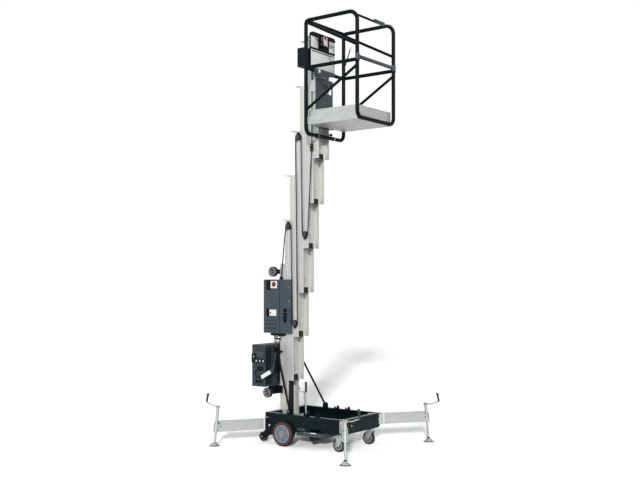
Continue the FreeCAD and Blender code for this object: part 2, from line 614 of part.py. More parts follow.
# Power unit clamped behind the mast, with two recesses for its controls and three ribs that
# run round its rear
power_rear = dim["mast_rear"] - dim["power_length"]
power_side = -dim["power_width"] / 2
power_low = dim["power_bottom"]
power = Part.makeBox(dim["power_length"], dim["power_width"], dim["power_height"],
                     Vec(power_rear, power_side, power_low))
power = power.makeFillet(dim["power_round"], [edge for edge in edges_along(power, Vec(0, 0, 1))
                                              if edge.BoundBox.XMax < power_rear + 1])
RECESSES = (
    # rear end behind the mast, front end behind the mast, low, high, from the unit's bottom
    (164, 6, 477, 582), (164, 16, 180, 269),
)
for rear, fore_end, low, high in RECESSES:
    power = power.cut(rounded_box((rear - fore_end, 2 * dim["recess_depth"], high - low),
                                  Vec(dim["mast_rear"] - rear, power_side - dim["recess_depth"],
                                      power_low + low), dim["recess_round"], Vec(0, 1, 0)))
rib_sink = dim["rib_round"] - dim["rib_proud"]
for rib in range(3):
    rib_z = power_low + dim["rib_first"] + rib * dim["rib_step"]
    side_rib = Part.makeCylinder(dim["rib_round"], dim["power_length"] - 2 * dim["power_round"],
                                 Vec(power_rear + dim["power_round"], power_side + rib_sink,
                                     rib_z), Vec(1, 0, 0))
    rear_rib = Part.makeCylinder(dim["rib_round"], dim["power_width"] - 2 * dim["power_round"],
                                 Vec(power_rear + rib_sink, power_side + dim["power_round"],
                                     rib_z), Vec(0, 1, 0))
    power = power.fuse([side_rib, rear_rib])
node("power_unit", feature("PowerUnit", power))

# Its cheek along the near side of the mast, with a rounded front edge, a slot and a finger scoop
cheek_thick = dim["power_width"] / 2 - dim["mast_width"] / 2 - dim["cheek_gap"]
cheek = Part.makeBox(dim["cheek_length"], cheek_thick, dim["power_height"],
                     Vec(dim["mast_rear"], power_side, power_low))
front_edges = [edge for edge in edges_along(cheek, Vec(0, 0, 1))
               if edge.BoundBox.XMin > dim["mast_rear"] + 1 and edge.BoundBox.YMax < power_side + 1]
cheek = cheek.makeFillet(dim["power_round"], front_edges)
cheek = cheek.cut(Part.makeCylinder(dim["scoop_radius"], dim["scoop_depth"],
                                    Vec(dim["mast_rear"] + dim["scoop_ahead"], power_side,
                                        power_low + dim["scoop_up"]), Vec(0, 1, 0)))
cheek = cheek.cut(rounded_box((dim["slot_length"], 2 * cheek_thick, dim["slot_height"]),
                              Vec(dim["mast_rear"] + dim["slot_rear"],
                                  power_side - cheek_thick / 2, power_low + dim["slot_low"]),
                              dim["scoop_depth"], Vec(0, 1, 0)))
node("power_cheek", feature("PowerCheek", cheek))
CONNECTORS = (
    # in front of the mast's rear, y, radius, length down from the power unit
    (-46, -118, 12, 52), (-18, -122, 10, 44), (14, -122, 12, 36),
)
connectors = []
for ahead, y, radius, drop in CONNECTORS:
    connectors.append(Part.makeCylinder(radius, drop, Vec(dim["mast_rear"] + ahead, y,
                                                          power_low - drop)))
node("connectors", feature("Connectors", Part.makeCompound(connectors)))

# Battery pack: a moulded case with a recess in its near side and upright flutes in front, and
# the panel with its lamps and socket
pack_rear = dim["mast_rear"] - dim["battery_gap"] - dim["battery_length"]
pack_side = -dim["battery_width"] / 2
pack_low = dim["battery_bottom"]
pack = rounded_box((dim["battery_length"], dim["battery_width"], dim["battery_height"]),
                   Vec(pack_rear, pack_side, pack_low), dim["battery_round"], Vec(0, 0, 1))
CASE_DETAILS = (
    # name, rear end from the pack's rear, low from its bottom, length, height, round
    ("recess", 46, 314, 137, 72, 8),
    ("bump", 8, 300, 59, 56, 5),
    ("socket", 94, 176, 69, 43, 5),
)
details = {name: (rear, low, length, height, bend)
           for name, rear, low, length, height, bend in CASE_DETAILS}


def case_block(name, inward, outward):
    """A rounded block across the pack's near side, so far inward and outward of it."""
    rear, low, length, height, bend = details[name]
    return rounded_box((length, inward + outward, height),
                       Vec(pack_rear + rear, pack_side - outward, pack_low + low), bend,
                       Vec(0, 1, 0))


pack = pack.cut(case_block("recess", dim["recess_round"], dim["recess_depth"]))
flutes = 9
flute_step = (dim["battery_width"] - 2 * dim["front_rib_end"] - dim["front_rib_width"]) / (flutes - 1)
for flute in range(flutes):
    pack = pack.cut(Part.makeBox(2 * dim["front_rib_depth"], dim["front_rib_width"],
                                 dim["battery_height"] - 3 * dim["battery_hold"],
                                 Vec(pack_rear + dim["battery_length"] - dim["front_rib_depth"],
                                     pack_side + dim["front_rib_end"] + flute * flute_step,
                                     pack_low + 1.5 * dim["battery_hold"])))
strip = Part.makeBox(dim["battery_length"] - 2 * dim["strip_inset"], dim["strip_thick"],
                     dim["strip_height"],
                     Vec(pack_rear + dim["strip_inset"], pack_side - dim["strip_thick"],
                         pack_low + dim["strip_low"]))
bump = case_block("bump", 0, dim["strip_thick"] + dim["bump_proud"])
socket = case_block("socket", 0, dim["socket_proud"])
node("battery_pack", feature("BatteryPack", pack))
node("battery_panel", feature("BatteryPanel", strip.fuse([bump, socket])))
node("battery_hanger", box("BatteryHanger", ("battery_gap", "mast_width - battery_hold / 2",
                                             "battery_height - 2 * battery_hold"),
                           ("mast_rear - battery_gap", "battery_hold / 4 - mast_width / 2",
                            "battery_bottom + battery_hold")))

# Loading wheels: each pair on one axle, in a bracket behind the mast
brackets = []
for level in ("low", "high"):
    x, y, z = ("load_%s_%s" % (level, axis) for axis in "xyz")
    wheels = [rod("LoadAxle" + level, "load_axle", "2 * %s" % y, (x, "-" + y, z), "y")]
    for side, sign in SIDES:
        start = "-%s - load_width / 2" % y if sign < 0 else "%s - load_width / 2" % y
        wheels.append(rod("LoadWheel" + level + side, "load_radius", "load_width",
                          (x, start, z), "y"))
        wheels.append(rod("LoadHub" + level + side, "load_hub", "load_width + 2 * load_boss",
                          (x, start + " - load_boss", z), "y"))
    node("loading_wheels_" + level, fuse("LoadWheels" + level, wheels))
    block = box("LoadBlock" + level, ("mast_rear - %s + load_arm" % x, "mast_width - 2 * load_arm",
                                      "2 * load_arm"),
                (x + " - load_arm", "-mast_width / 2 + load_arm", z + " - load_arm"))
    hole = rod("LoadHole" + level, "load_axle + axle_play", "mast_width",
               (x, "-mast_width / 2", z), "y")
    brackets.append(cut("LoadBracket" + level, block, hole))
node("loading_brackets", fuse("LoadBrackets", brackets))

# Rear wheels: a tyre with bevelled shoulders, on a hub with five pockets, turn on a stub axle
for side, sign in SIDES:
    y = sign * (dim["chassis_width"] / 2 + dim["wheel_gap"])
    inner = Vec(dim["wheel_x"], y, dim["wheel_radius"])
    outward = Vec(0, sign, 0)
    tread = Part.makeCylinder(dim["wheel_radius"], dim["wheel_width"], inner, outward)
    shoulders = [edge for edge in tread.Edges if isinstance(edge.Curve, Part.Circle)]
    tread = tread.makeChamfer(dim["tread_round"], shoulders)
    core = Part.makeCylinder(dim["hub_radius"], dim["wheel_width"], inner, outward)
    node("rear_tyre_" + side, feature("RearTyre" + side, tread.cut(core)))
    disc = Part.makeCylinder(dim["hub_radius"], dim["wheel_width"] - 4, inner + outward * 2, outward)
    face = inner + outward * (dim["wheel_width"] - 2 - dim["hub_dish"])
    pocket = Part.makeCylinder(dim["hub_radius"] - dim["hub_rim"], dim["hub_dish"], face, outward)
    boss = Part.makeCylinder(dim["hub_boss"], dim["hub_dish"], face, outward)
    spokes = []
    for turn in range(5):
        spoke = Part.makeBox(dim["hub_radius"], dim["hub_dish"], dim["rib_width"],
                             Vec(face.x, min(face.y, face.y + sign * dim["hub_dish"]),
                                 face.z - dim["rib_width"] / 2))
        spoke.rotate(face, Vec(0, 1, 0), 90 + 72 * turn)
        spokes.append(spoke)
    bore = Part.makeCylinder(dim["axle_radius"] + dim["axle_play"], 2 * dim["wheel_width"],
                             inner - outward * dim["wheel_width"] / 2, outward)
    node("rear_hub_" + side, feature("RearHub" + side,
                                     disc.cut(pocket.cut(boss.fuse(spokes))).cut(bore)))
node("rear_axle", rod("RearAxle", "axle_radius",
                      "chassis_width + 2 * wheel_gap + 2 * wheel_width + 2 * axle_end",
                      ("wheel_x", "-chassis_width / 2 - wheel_gap - wheel_width - axle_end",
                       "wheel_radius"), "y"))

# Small wheels that take the load when the lift is tipped back, between the ears of a bracket
# that stands against the inside of the side plate
ear_outline = [
    ("tilt_x - tilt_edge / 2", "tilt_z - tilt_edge"), ("tilt_x + tilt_edge", "tilt_z - tilt_edge"),
    ("rear_end + tilt_reach", "tilt_z + tilt_rise"), ("rear_end + tilt_reach", "tilt_top"),
    ("rear_end - tilt_edge / 2", "tilt_top"), ("tilt_x - tilt_edge", "tilt_z + tilt_edge"),
    ("tilt_x - tilt_edge", "tilt_z - tilt_edge / 2"),
]
tilt_parts = []
ear_step = "(tilt_width / 2 + tilt_gap)"
for side, sign in SIDES:
    middle = "tilt_y" if sign > 0 else "-tilt_y"
    start = middle + " - tilt_width / 2"
    wheel = rod("TiltWheel" + side, "tilt_radius", "tilt_width", ("tilt_x", start, "tilt_z"), "y")
    bore = rod("TiltBore" + side, "load_axle + axle_play", "3 * tilt_width",
               ("tilt_x", start + " - tilt_width", "tilt_z"), "y")
    node("tilt_wheel_" + side, cut("TiltTyre" + side, wheel, bore))
    tilt_parts.append(padded("TiltEarA" + side, "XZ_Plane", [ear_outline], "tilt_ear",
                             (0, "%s - %s" % (middle, ear_step), 0)))
    tilt_parts.append(padded("TiltEarB" + side, "XZ_Plane", [ear_outline], "tilt_ear",
                             (0, "%s + %s + tilt_ear" % (middle, ear_step), 0)))
    tilt_parts.append(box("TiltBridge" + side,
                          ("tilt_ear", "tilt_width + 2 * tilt_gap",
                           "tilt_top - tilt_z - tilt_rise"),
                          ("rear_end + tilt_reach - tilt_ear",
                           "%s - %s" % (middle, ear_step), "tilt_z + tilt_rise")))
    tilt_parts.append(rod("TiltPin" + side, "load_axle",
                          "tilt_width + 2 * tilt_gap + 2 * tilt_ear",
                          ("tilt_x", "%s - %s - tilt_ear" % (middle, ear_step), "tilt_z"), "y"))
node("tilt_brackets", fuse("TiltBrackets", tilt_parts))

# Casters: a tapered fork turns under its plate, the wheel runs on the fork's pin
plates = []
leg_outline = [
    ("caster_x - fork_foot", "caster_radius - fork_foot"),
    ("caster_x + fork_foot", "caster_radius - fork_foot"),
    ("caster_x + caster_trail + caster_head", "2 * caster_radius + fork_clear"),
    ("caster_x - fork_foot", "2 * caster_radius + fork_clear"),
]
for side, sign in SIDES:
    y = "caster_y" if sign > 0 else "-caster_y"
    plates.append(box("CasterPlate" + side, ("caster_plate", "caster_plate", "plate_thick"),
                      ("caster_x + caster_trail - caster_plate / 2", y + " - caster_plate / 2",
                       "rail_bottom - plate_thick")))
    crown_z = "2 * caster_radius + fork_clear"
    outer = "(caster_width / 2 + fork_clear + fork_thick)"
    fork = [rod("CasterHead" + side, "caster_head",
                "rail_bottom - plate_thick - 2 * caster_radius - fork_clear - swivel_gap",
                ("caster_x + caster_trail", y, crown_z)),
            box("CasterCrown" + side, ("caster_trail + caster_head + fork_foot", "2 * " + outer,
                                       "fork_thick"),
                ("caster_x - fork_foot", "%s - %s" % (y, outer), crown_z))]
    for k, face in enumerate((y + " - %s + fork_thick" % outer, y + " + " + outer)):
        fork.append(padded("CasterLeg%s%d" % (side, k), "XZ_Plane", [leg_outline], "fork_thick",
                           (0, face, 0)))
    fork.append(rod("CasterPin" + side, "load_axle", "2 * %s + 2 * fork_thick" % outer,
                    ("caster_x", "%s - %s - fork_thick" % (y, outer), "caster_radius"), "y"))
    node("caster_fork_" + side, fuse("CasterFork" + side, fork))
    middle = Vec(dim["caster_x"], sign * dim["caster_y"] - dim["caster_width"] / 2,
                 dim["caster_radius"])
    tread = Part.makeCylinder(dim["caster_radius"], dim["caster_width"], middle, Vec(0, 1, 0))
    shoulders = [edge for edge in tread.Edges if isinstance(edge.Curve, Part.Circle)]
    tread = tread.makeChamfer(dim["tread_round"] / 2, shoulders)
    bore = Part.makeCylinder(dim["load_axle"] + dim["axle_play"], dim["caster_width"], middle,
                             Vec(0, 1, 0))
    node("caster_wheel_" + side, feature("CasterWheel" + side, tread.cut(bore)))
node("caster_plates", fuse("CasterPlates", plates))

# Brake lever beside the mast
node("brake_lever", fuse("BrakeLever", [
    rod("LeverRod", "lever_radius", "lever_height", ("lever_x", "lever_y", "deck_top")),
    rod("LeverGrip", "lever_grip", "lever_hold",
        ("lever_x", "lever_y", "deck_top + lever_height - lever_hold + lever_grip")),
]))

# Work platform: the floor, toe boards with a folded lip, and lugs that hold the rear posts
floor_y = "-floor_half"
lugs = []
for side, sign in SIDES:
    low_y = "floor_half - lug_hold" if sign > 0 else "-cage_half"
    lug = box("Lug" + side, ("floor_rear + lug_hold - cage_rear",
                             "cage_half - floor_half + lug_hold", "lug_height"),
              ("cage_rear", low_y, "floor_bottom"))
    post = rod("LugPost" + side, "tube_radius + lug_gap", "lug_height",
               ("cage_rear", "cage_half" if sign > 0 else "-cage_half", "floor_bottom"))
    lugs.append(cut("PostLug" + side, lug, post))
TOES = (
    # name, rear end, right end, length, width
    ("Right", "floor_rear", floor_y, "floor_length", "toe_thick"),
    ("Left", "floor_rear", "floor_half - toe_thick", "floor_length", "toe_thick"),
    ("Front", "floor_front - toe_thick", floor_y, "toe_thick", "2 * floor_half"),
    ("Rear", "floor_rear", floor_y, "toe_thick", "2 * floor_half"),
)
LIPS = (
    # name, rear end, right end, length, width
    ("Right", "floor_rear", floor_y, "floor_length", "toe_lip"),
    ("Left", "floor_rear", "floor_half - toe_lip", "floor_length", "toe_lip"),
    ("Front", "floor_front - toe_lip", floor_y, "toe_lip", "2 * floor_half"),
)
toes = [box("Toe" + name, (length, width, "toe_height"), (rear, right, "floor_bottom"))
        for name, rear, right, length, width in TOES]
toes += [box("Lip" + name, (length, width, "toe_thick"), (rear, right, "toe_top - toe_thick"))
         for name, rear, right, length, width in LIPS]
node("platform_floor", fuse("PlatformFloor", lugs + toes + [
    box("FloorPanel", ("floor_length", "2 * floor_half", "floor_thick"),
        ("floor_rear", floor_y, "floor_bottom")),
]))

# Guard rails: a side panel right and left, and the rear rails between them
rear_x = dim["cage_rear"]
front_x = dim["cage_front"]
floor_z = dim["floor_bottom"]
tube = dim["tube_radius"]
for side, sign in SIDES:
    y = sign * dim["cage_half"]
    hoop = bent_tube([Vec(rear_x, y, dim["front_rail"]), Vec(rear_x, y, dim["top_rail"]),
                      Vec(front_x, y, dim["top_rail"]),
                      Vec(front_x, y, dim["front_rail"] + dim["low_leg"])],
                     [dim["bend_radius"] / 2, dim["top_bend"]], tube)
    rails = [straight(Vec(rear_x, y, dim["mid_rail"]), Vec(front_x, y, dim["mid_rail"]), tube - 1),
             straight(Vec(rear_x, y, dim["top_rail"] - dim["brace_start"]),
                      Vec(front_x, y, floor_z + dim["high_brace"]), dim["brace_radius"]),
             straight(Vec(rear_x, y, floor_z + dim["low_brace_rear"]),
                      Vec(front_x, y, floor_z + dim["low_brace_front"]), dim["brace_radius"])]
    node("guard_panel_" + side, feature("GuardPanel" + side, hoop.fuse(rails)))
half = dim["cage_half"]
inside = half - tube - dim["lug_gap"]
under = bent_tube([Vec(rear_x, -half, dim["front_rail"]), Vec(rear_x, -half, dim["under_rail"]),
                   Vec(rear_x, half, dim["under_rail"]), Vec(rear_x, half, dim["front_rail"])],
                  [dim["bend_radius"], dim["bend_radius"]], tube)
node("platform_yoke", feature("PlatformYoke", under))

# Cross rails; the front low one turns up at both ends to meet the front posts
rise = dim["top_bend"] - dim["top_bar_drop"]
CROSS_RAILS = (
    # name, x, height, radius
    ("rear top", rear_x, dim["top_rail"], tube - 1),
    ("rear middle", rear_x, dim["mid_rail"], tube - 1),
    ("front top", front_x - dim["top_bend"] + math.sqrt(dim["top_bend"] ** 2 - rise ** 2),
     dim["top_rail"] - dim["top_bar_drop"], dim["bar_radius"]),
)
crossings = [straight(Vec(x, -inside, z), Vec(x, inside, z), radius)
             for _, x, z, radius in CROSS_RAILS]
low_end = dim["front_rail"] + dim["low_leg"]
crossings.append(bent_tube([Vec(front_x, -half, low_end), Vec(front_x, -half, dim["front_rail"]),
                            Vec(front_x, half, dim["front_rail"]), Vec(front_x, half, low_end)],
                           [dim["low_bend"], dim["low_bend"]], tube))
node("cross_rails", feature("CrossRails", Part.makeCompound(crossings)))


def half_ring(y, low, height, inner, wall):
    """The front half of a ring round a front post."""
    ring = Part.makeCylinder(inner + wall, height, Vec(front_x, y, low))
    post = Part.makeCylinder(inner, height, Vec(front_x, y, low))
    reach = 2 * (inner + wall)
    rear = Part.makeBox(reach, 2 * reach, height, Vec(front_x - reach, y - reach, low))
    return ring.cut([post, rear])


# Gate bar: its end guides slide up the front posts
guide_inner = tube + dim["guide_play"]
guide_low = dim["gate_z"] - dim["guide_height"] / 2
gate_end = half - guide_inner - dim["guide_wall"] / 2
gate = straight(Vec(front_x, -gate_end, dim["gate_z"]), Vec(front_x, gate_end, dim["gate_z"]),
                dim["gate_radius"])
gate = gate.fuse([half_ring(sign * half, guide_low, dim["guide_height"], guide_inner,
                            dim["guide_wall"]) for _, sign in SIDES])
posts = [Part.makeCylinder(guide_inner, 4 * dim["gate_radius"],
                           Vec(front_x, sign * half, dim["gate_z"] - 2 * dim["gate_radius"]))
         for _, sign in SIDES]
node("gate_bar", feature("GateBar", gate.cut(posts)))
stops = [half_ring(sign * half, guide_low - dim["stop_height"] - dim["lug_gap"], dim["stop_height"], tube,
                   dim["guide_wall"]) for _, sign in SIDES]
node("gate_stops", feature("GateStops", Part.makeCompound(stops)))

# Plate that carries the platform, with a window on its far side and two arms to the floor
plate = box("MountPlate", ("mount_thick", "2 * plate_half", "plate_height"),
            ("mast_front", "-plate_half", "floor_bottom"))
window = box("Window", ("2 * mount_thick", "window_far - window_near", "window_height"),
             ("mast_front - mount_thick / 2", "window_near", "floor_bottom + window_low"))
mount_parts = [cut("WindowPlate", plate, window)]
for side, sign in SIDES:
    arm_y = "plate_half - mount_thick" if sign > 0 else "-plate_half"
    mount_parts.append(box("MountArm" + side, ("floor_rear - mast_front", "mount_thick",
                                               "toe_height - floor_thick"),
                           ("mast_front", arm_y, "floor_bottom")))
node("mount_plate", fuse("Mount", mount_parts))
node("cable_anchor", box("CableAnchor", ("anchor_length", "anchor_thick", "anchor_height"),
                         ("mast_front - anchor_length", "-mast_width / 2 - anchor_thick",
                          "floor_bottom + anchor_low")))

# Console: a board with rounded top corners, a hood along its top, a ledge and the control box
console_size = (dim["console_thick"], dim["console_width"], dim["console_height"])
console_corner = Vec(dim["mast_front"], dim["console_near"], dim["console_low"])
board = Part.makeBox(*console_size, console_corner)
hood = Part.makeBox(dim["hood_depth"], dim["console_width"], dim["hood_height"],
                    Vec(dim["mast_front"] + dim["console_thick"], dim["console_near"],
                        dim["console_top"] - dim["hood_height"]))
console = board.fuse(hood).removeSplitter()
top_edges = [edge for edge in edges_along(console, Vec(1, 0, 0))
             if edge.BoundBox.ZMin > dim["console_top"] - 1]
console = console.makeFillet(dim["console_round"], top_edges)
control = rounded_box((dim["control_depth"], dim["control_width"], dim["control_height"]),
                      Vec(dim["mast_front"] + dim["console_thick"], dim["control_near"],
                          dim["console_low"] + dim["control_low"]), 4, Vec(1, 0, 0))
ledge = Part.makeBox(dim["ledge_depth"], dim["console_width"], dim["ledge_height"],
                     Vec(dim["mast_front"] + dim["console_thick"], dim["console_near"],
                         dim["console_low"] + dim["ledge_low"]))
node("console", feature("Console", console.fuse([control, ledge])))

# Bracket plate in front of the rear middle rail, and the document box beside the mast
bracket_outline = [
    ("bracket_near", "console_low + bracket_low"),
    ("bracket_far - bracket_slope", "console_low + bracket_low + bracket_slope"),
    ("bracket_far", "console_low - 2 * bracket_fold"), ("bracket_far", "console_low - bracket_fold"),
    ("bracket_near", "console_low - bracket_fold"),
]
node("rail_bracket", padded("RailBracket", "YZ_Plane", [bracket_outline], "bracket_thick",
                            ("cage_rear + tube_radius - 1 + lug_gap", 0, 0)))
node("document_box", box("DocumentBox", ("box_length", "box_outer - box_inner", "box_height"),
                         ("mast_front - box_length", "-box_outer", "console_low")))

doc.recompute()
faults = [item.Name for item in doc.Objects if "Invalid" in item.State or "Error" in item.State]
if faults:
    raise RuntimeError("not recomputed: " + ", ".join(faults))
for label, thing in nodes.items():
    if thing.Shape.isNull() or not thing.Shape.isValid():
        raise RuntimeError(label + " has no valid shape")
for label, thing in nodes.items():
    thing.Shape.exportStep("parts/%s.step" % label)
print(len(nodes), "nodes")
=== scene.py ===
import json
import math
import bpy
import bmesh
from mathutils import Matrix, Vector


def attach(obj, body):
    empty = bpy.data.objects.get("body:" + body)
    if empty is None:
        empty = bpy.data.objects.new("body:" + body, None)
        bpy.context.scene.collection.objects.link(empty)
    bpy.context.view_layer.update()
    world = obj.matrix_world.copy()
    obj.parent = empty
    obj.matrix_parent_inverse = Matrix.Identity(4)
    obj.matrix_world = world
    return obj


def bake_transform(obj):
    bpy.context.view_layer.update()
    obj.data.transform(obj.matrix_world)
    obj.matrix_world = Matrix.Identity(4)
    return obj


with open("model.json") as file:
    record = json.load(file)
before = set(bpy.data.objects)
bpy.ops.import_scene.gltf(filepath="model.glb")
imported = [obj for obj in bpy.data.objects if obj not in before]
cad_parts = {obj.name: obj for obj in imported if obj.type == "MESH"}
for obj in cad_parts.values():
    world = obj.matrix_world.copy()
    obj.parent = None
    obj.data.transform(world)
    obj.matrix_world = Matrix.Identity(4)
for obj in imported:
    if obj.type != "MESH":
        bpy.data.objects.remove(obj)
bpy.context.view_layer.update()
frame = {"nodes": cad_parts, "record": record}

print("frame loaded")

nodes = frame["nodes"]
collection = bpy.context.scene.collection

# The camera stands at hand height in front of the machine's right side
camera = {"place": (5.870, -7.924, 1.794), "turn": 36.7165, "lens": 51.473, "film": 36.0,
          "shiftUp": 0.0581}

lights = {
    "sunPower": 2.5, "sunAngle": 5.0, "sunRise": 18.0, "sunTurn": 4.0,
    "fillPower": 40.0, "fillPlace": (-3.5, -6.0, 5.0), "fillSize": 4.0,
    "fillAim": (0, 0, 1.5), "skyTint": (0.95, 0.98, 1.0), "floorWide": 60, "floorLit": (0.80,) * 3,
    "skyLevel": 0.34, "floorSeen": (1.85, 1.84, 1.83),
}


def setCamera():
    data = bpy.data.cameras.new("camera")
    data.lens = camera["lens"]
    data.sensor_width = camera["film"]
    data.shift_y = camera["shiftUp"]
    eye = bpy.data.objects.new("camera", data)
    eye.location = camera["place"]
    eye.rotation_euler = (math.radians(90), 0, math.radians(camera["turn"]))
    collection.objects.link(eye)
    bpy.context.scene.camera = eye


def setSky():
    world = bpy.data.worlds.new("studio")
    bpy.context.scene.world = world
    world.use_nodes = True
    tree = world.node_tree
    tree.nodes.clear()
    path = tree.nodes.new("ShaderNodeLightPath")
    seen = tree.nodes.new("ShaderNodeMath")
    seen.operation = "MAXIMUM"
    both = tree.nodes.new("ShaderNodeMath")
    both.operation = "MAXIMUM"
    tree.links.new(path.outputs["Is Camera Ray"], seen.inputs[0])
    tree.links.new(path.outputs["Is Glossy Ray"], seen.inputs[1])
    tree.links.new(seen.outputs[0], both.inputs[0])
    tree.links.new(path.outputs["Is Transmission Ray"], both.inputs[1])
    soft = tree.nodes.new("ShaderNodeBackground")
    soft.inputs["Color"].default_value = (*lights["skyTint"], 1)
    soft.inputs["Strength"].default_value = lights["skyLevel"]
    white = tree.nodes.new("ShaderNodeBackground")
    white.inputs["Color"].default_value = (1, 1, 1, 1)
    white.inputs["Strength"].default_value = 1.0
    mix = tree.nodes.new("ShaderNodeMixShader")
    out = tree.nodes.new("ShaderNodeOutputWorld")
    tree.links.new(both.outputs[0], mix.inputs[0])
    tree.links.new(soft.outputs[0], mix.inputs[1])
    tree.links.new(white.outputs[0], mix.inputs[2])
    tree.links.new(mix.outputs[0], out.inputs["Surface"])


def setLamps():
    sun = bpy.data.lights.new("keyLamp", "SUN")
    sun.energy = lights["sunPower"]
    sun.angle = math.radians(lights["sunAngle"])
    lamp = bpy.data.objects.new("keyLamp", sun)
    turn = math.radians(camera["turn"] - lights["sunTurn"])
    lamp.rotation_euler = (math.radians(90 - lights["sunRise"]), 0, turn)
    collection.objects.link(lamp)
    area = bpy.data.lights.new("fillLamp", "AREA")
    area.energy = lights["fillPower"]
    area.size = lights["fillSize"]
    fill = bpy.data.objects.new("fillLamp", area)
    fill.location = lights["fillPlace"]
    aim = Vector(lights["fillAim"]) - Vector(lights["fillPlace"])
    fill.rotation_euler = aim.to_track_quat("-Z", "Y").to_euler()
    collection.objects.link(fill)


def setFloor():
    bpy.ops.mesh.primitive_plane_add(size=lights["floorWide"], location=(0, 0, 0))
    floor = bpy.context.object
    floor.name = "studioFloor"
    paint = bpy.data.materials.new("studioFloor")
    paint.use_nodes = True
    tree = paint.node_tree
    tree.nodes.clear()
    lit = tree.nodes.new("ShaderNodeBsdfDiffuse")
    lit.inputs["Color"].default_value = (*lights["floorLit"], 1)
    pale = tree.nodes.new("ShaderNodeBsdfDiffuse")
    pale.inputs["Color"].default_value = (*lights["floorSeen"], 1)
    path = tree.nodes.new("ShaderNodeLightPath")
    seen = tree.nodes.new("ShaderNodeMath")
    seen.operation = "MAXIMUM"
    mix = tree.nodes.new("ShaderNodeMixShader")
    out = tree.nodes.new("ShaderNodeOutputMaterial")
    tree.links.new(path.outputs["Is Camera Ray"], seen.inputs[0])
    tree.links.new(path.outputs["Is Glossy Ray"], seen.inputs[1])
    tree.links.new(seen.outputs[0], mix.inputs[0])
    tree.links.new(lit.outputs[0], mix.inputs[1])
    tree.links.new(pale.outputs[0], mix.inputs[2])
    tree.links.new(mix.outputs[0], out.inputs["Surface"])
    floor.data.materials.append(paint)


bpy.ops.object.select_all(action="DESELECT")
bpy.context.scene.view_settings.view_transform = "Standard"
setCamera()
setSky()
setLamps()
setFloor()
print("studio set")

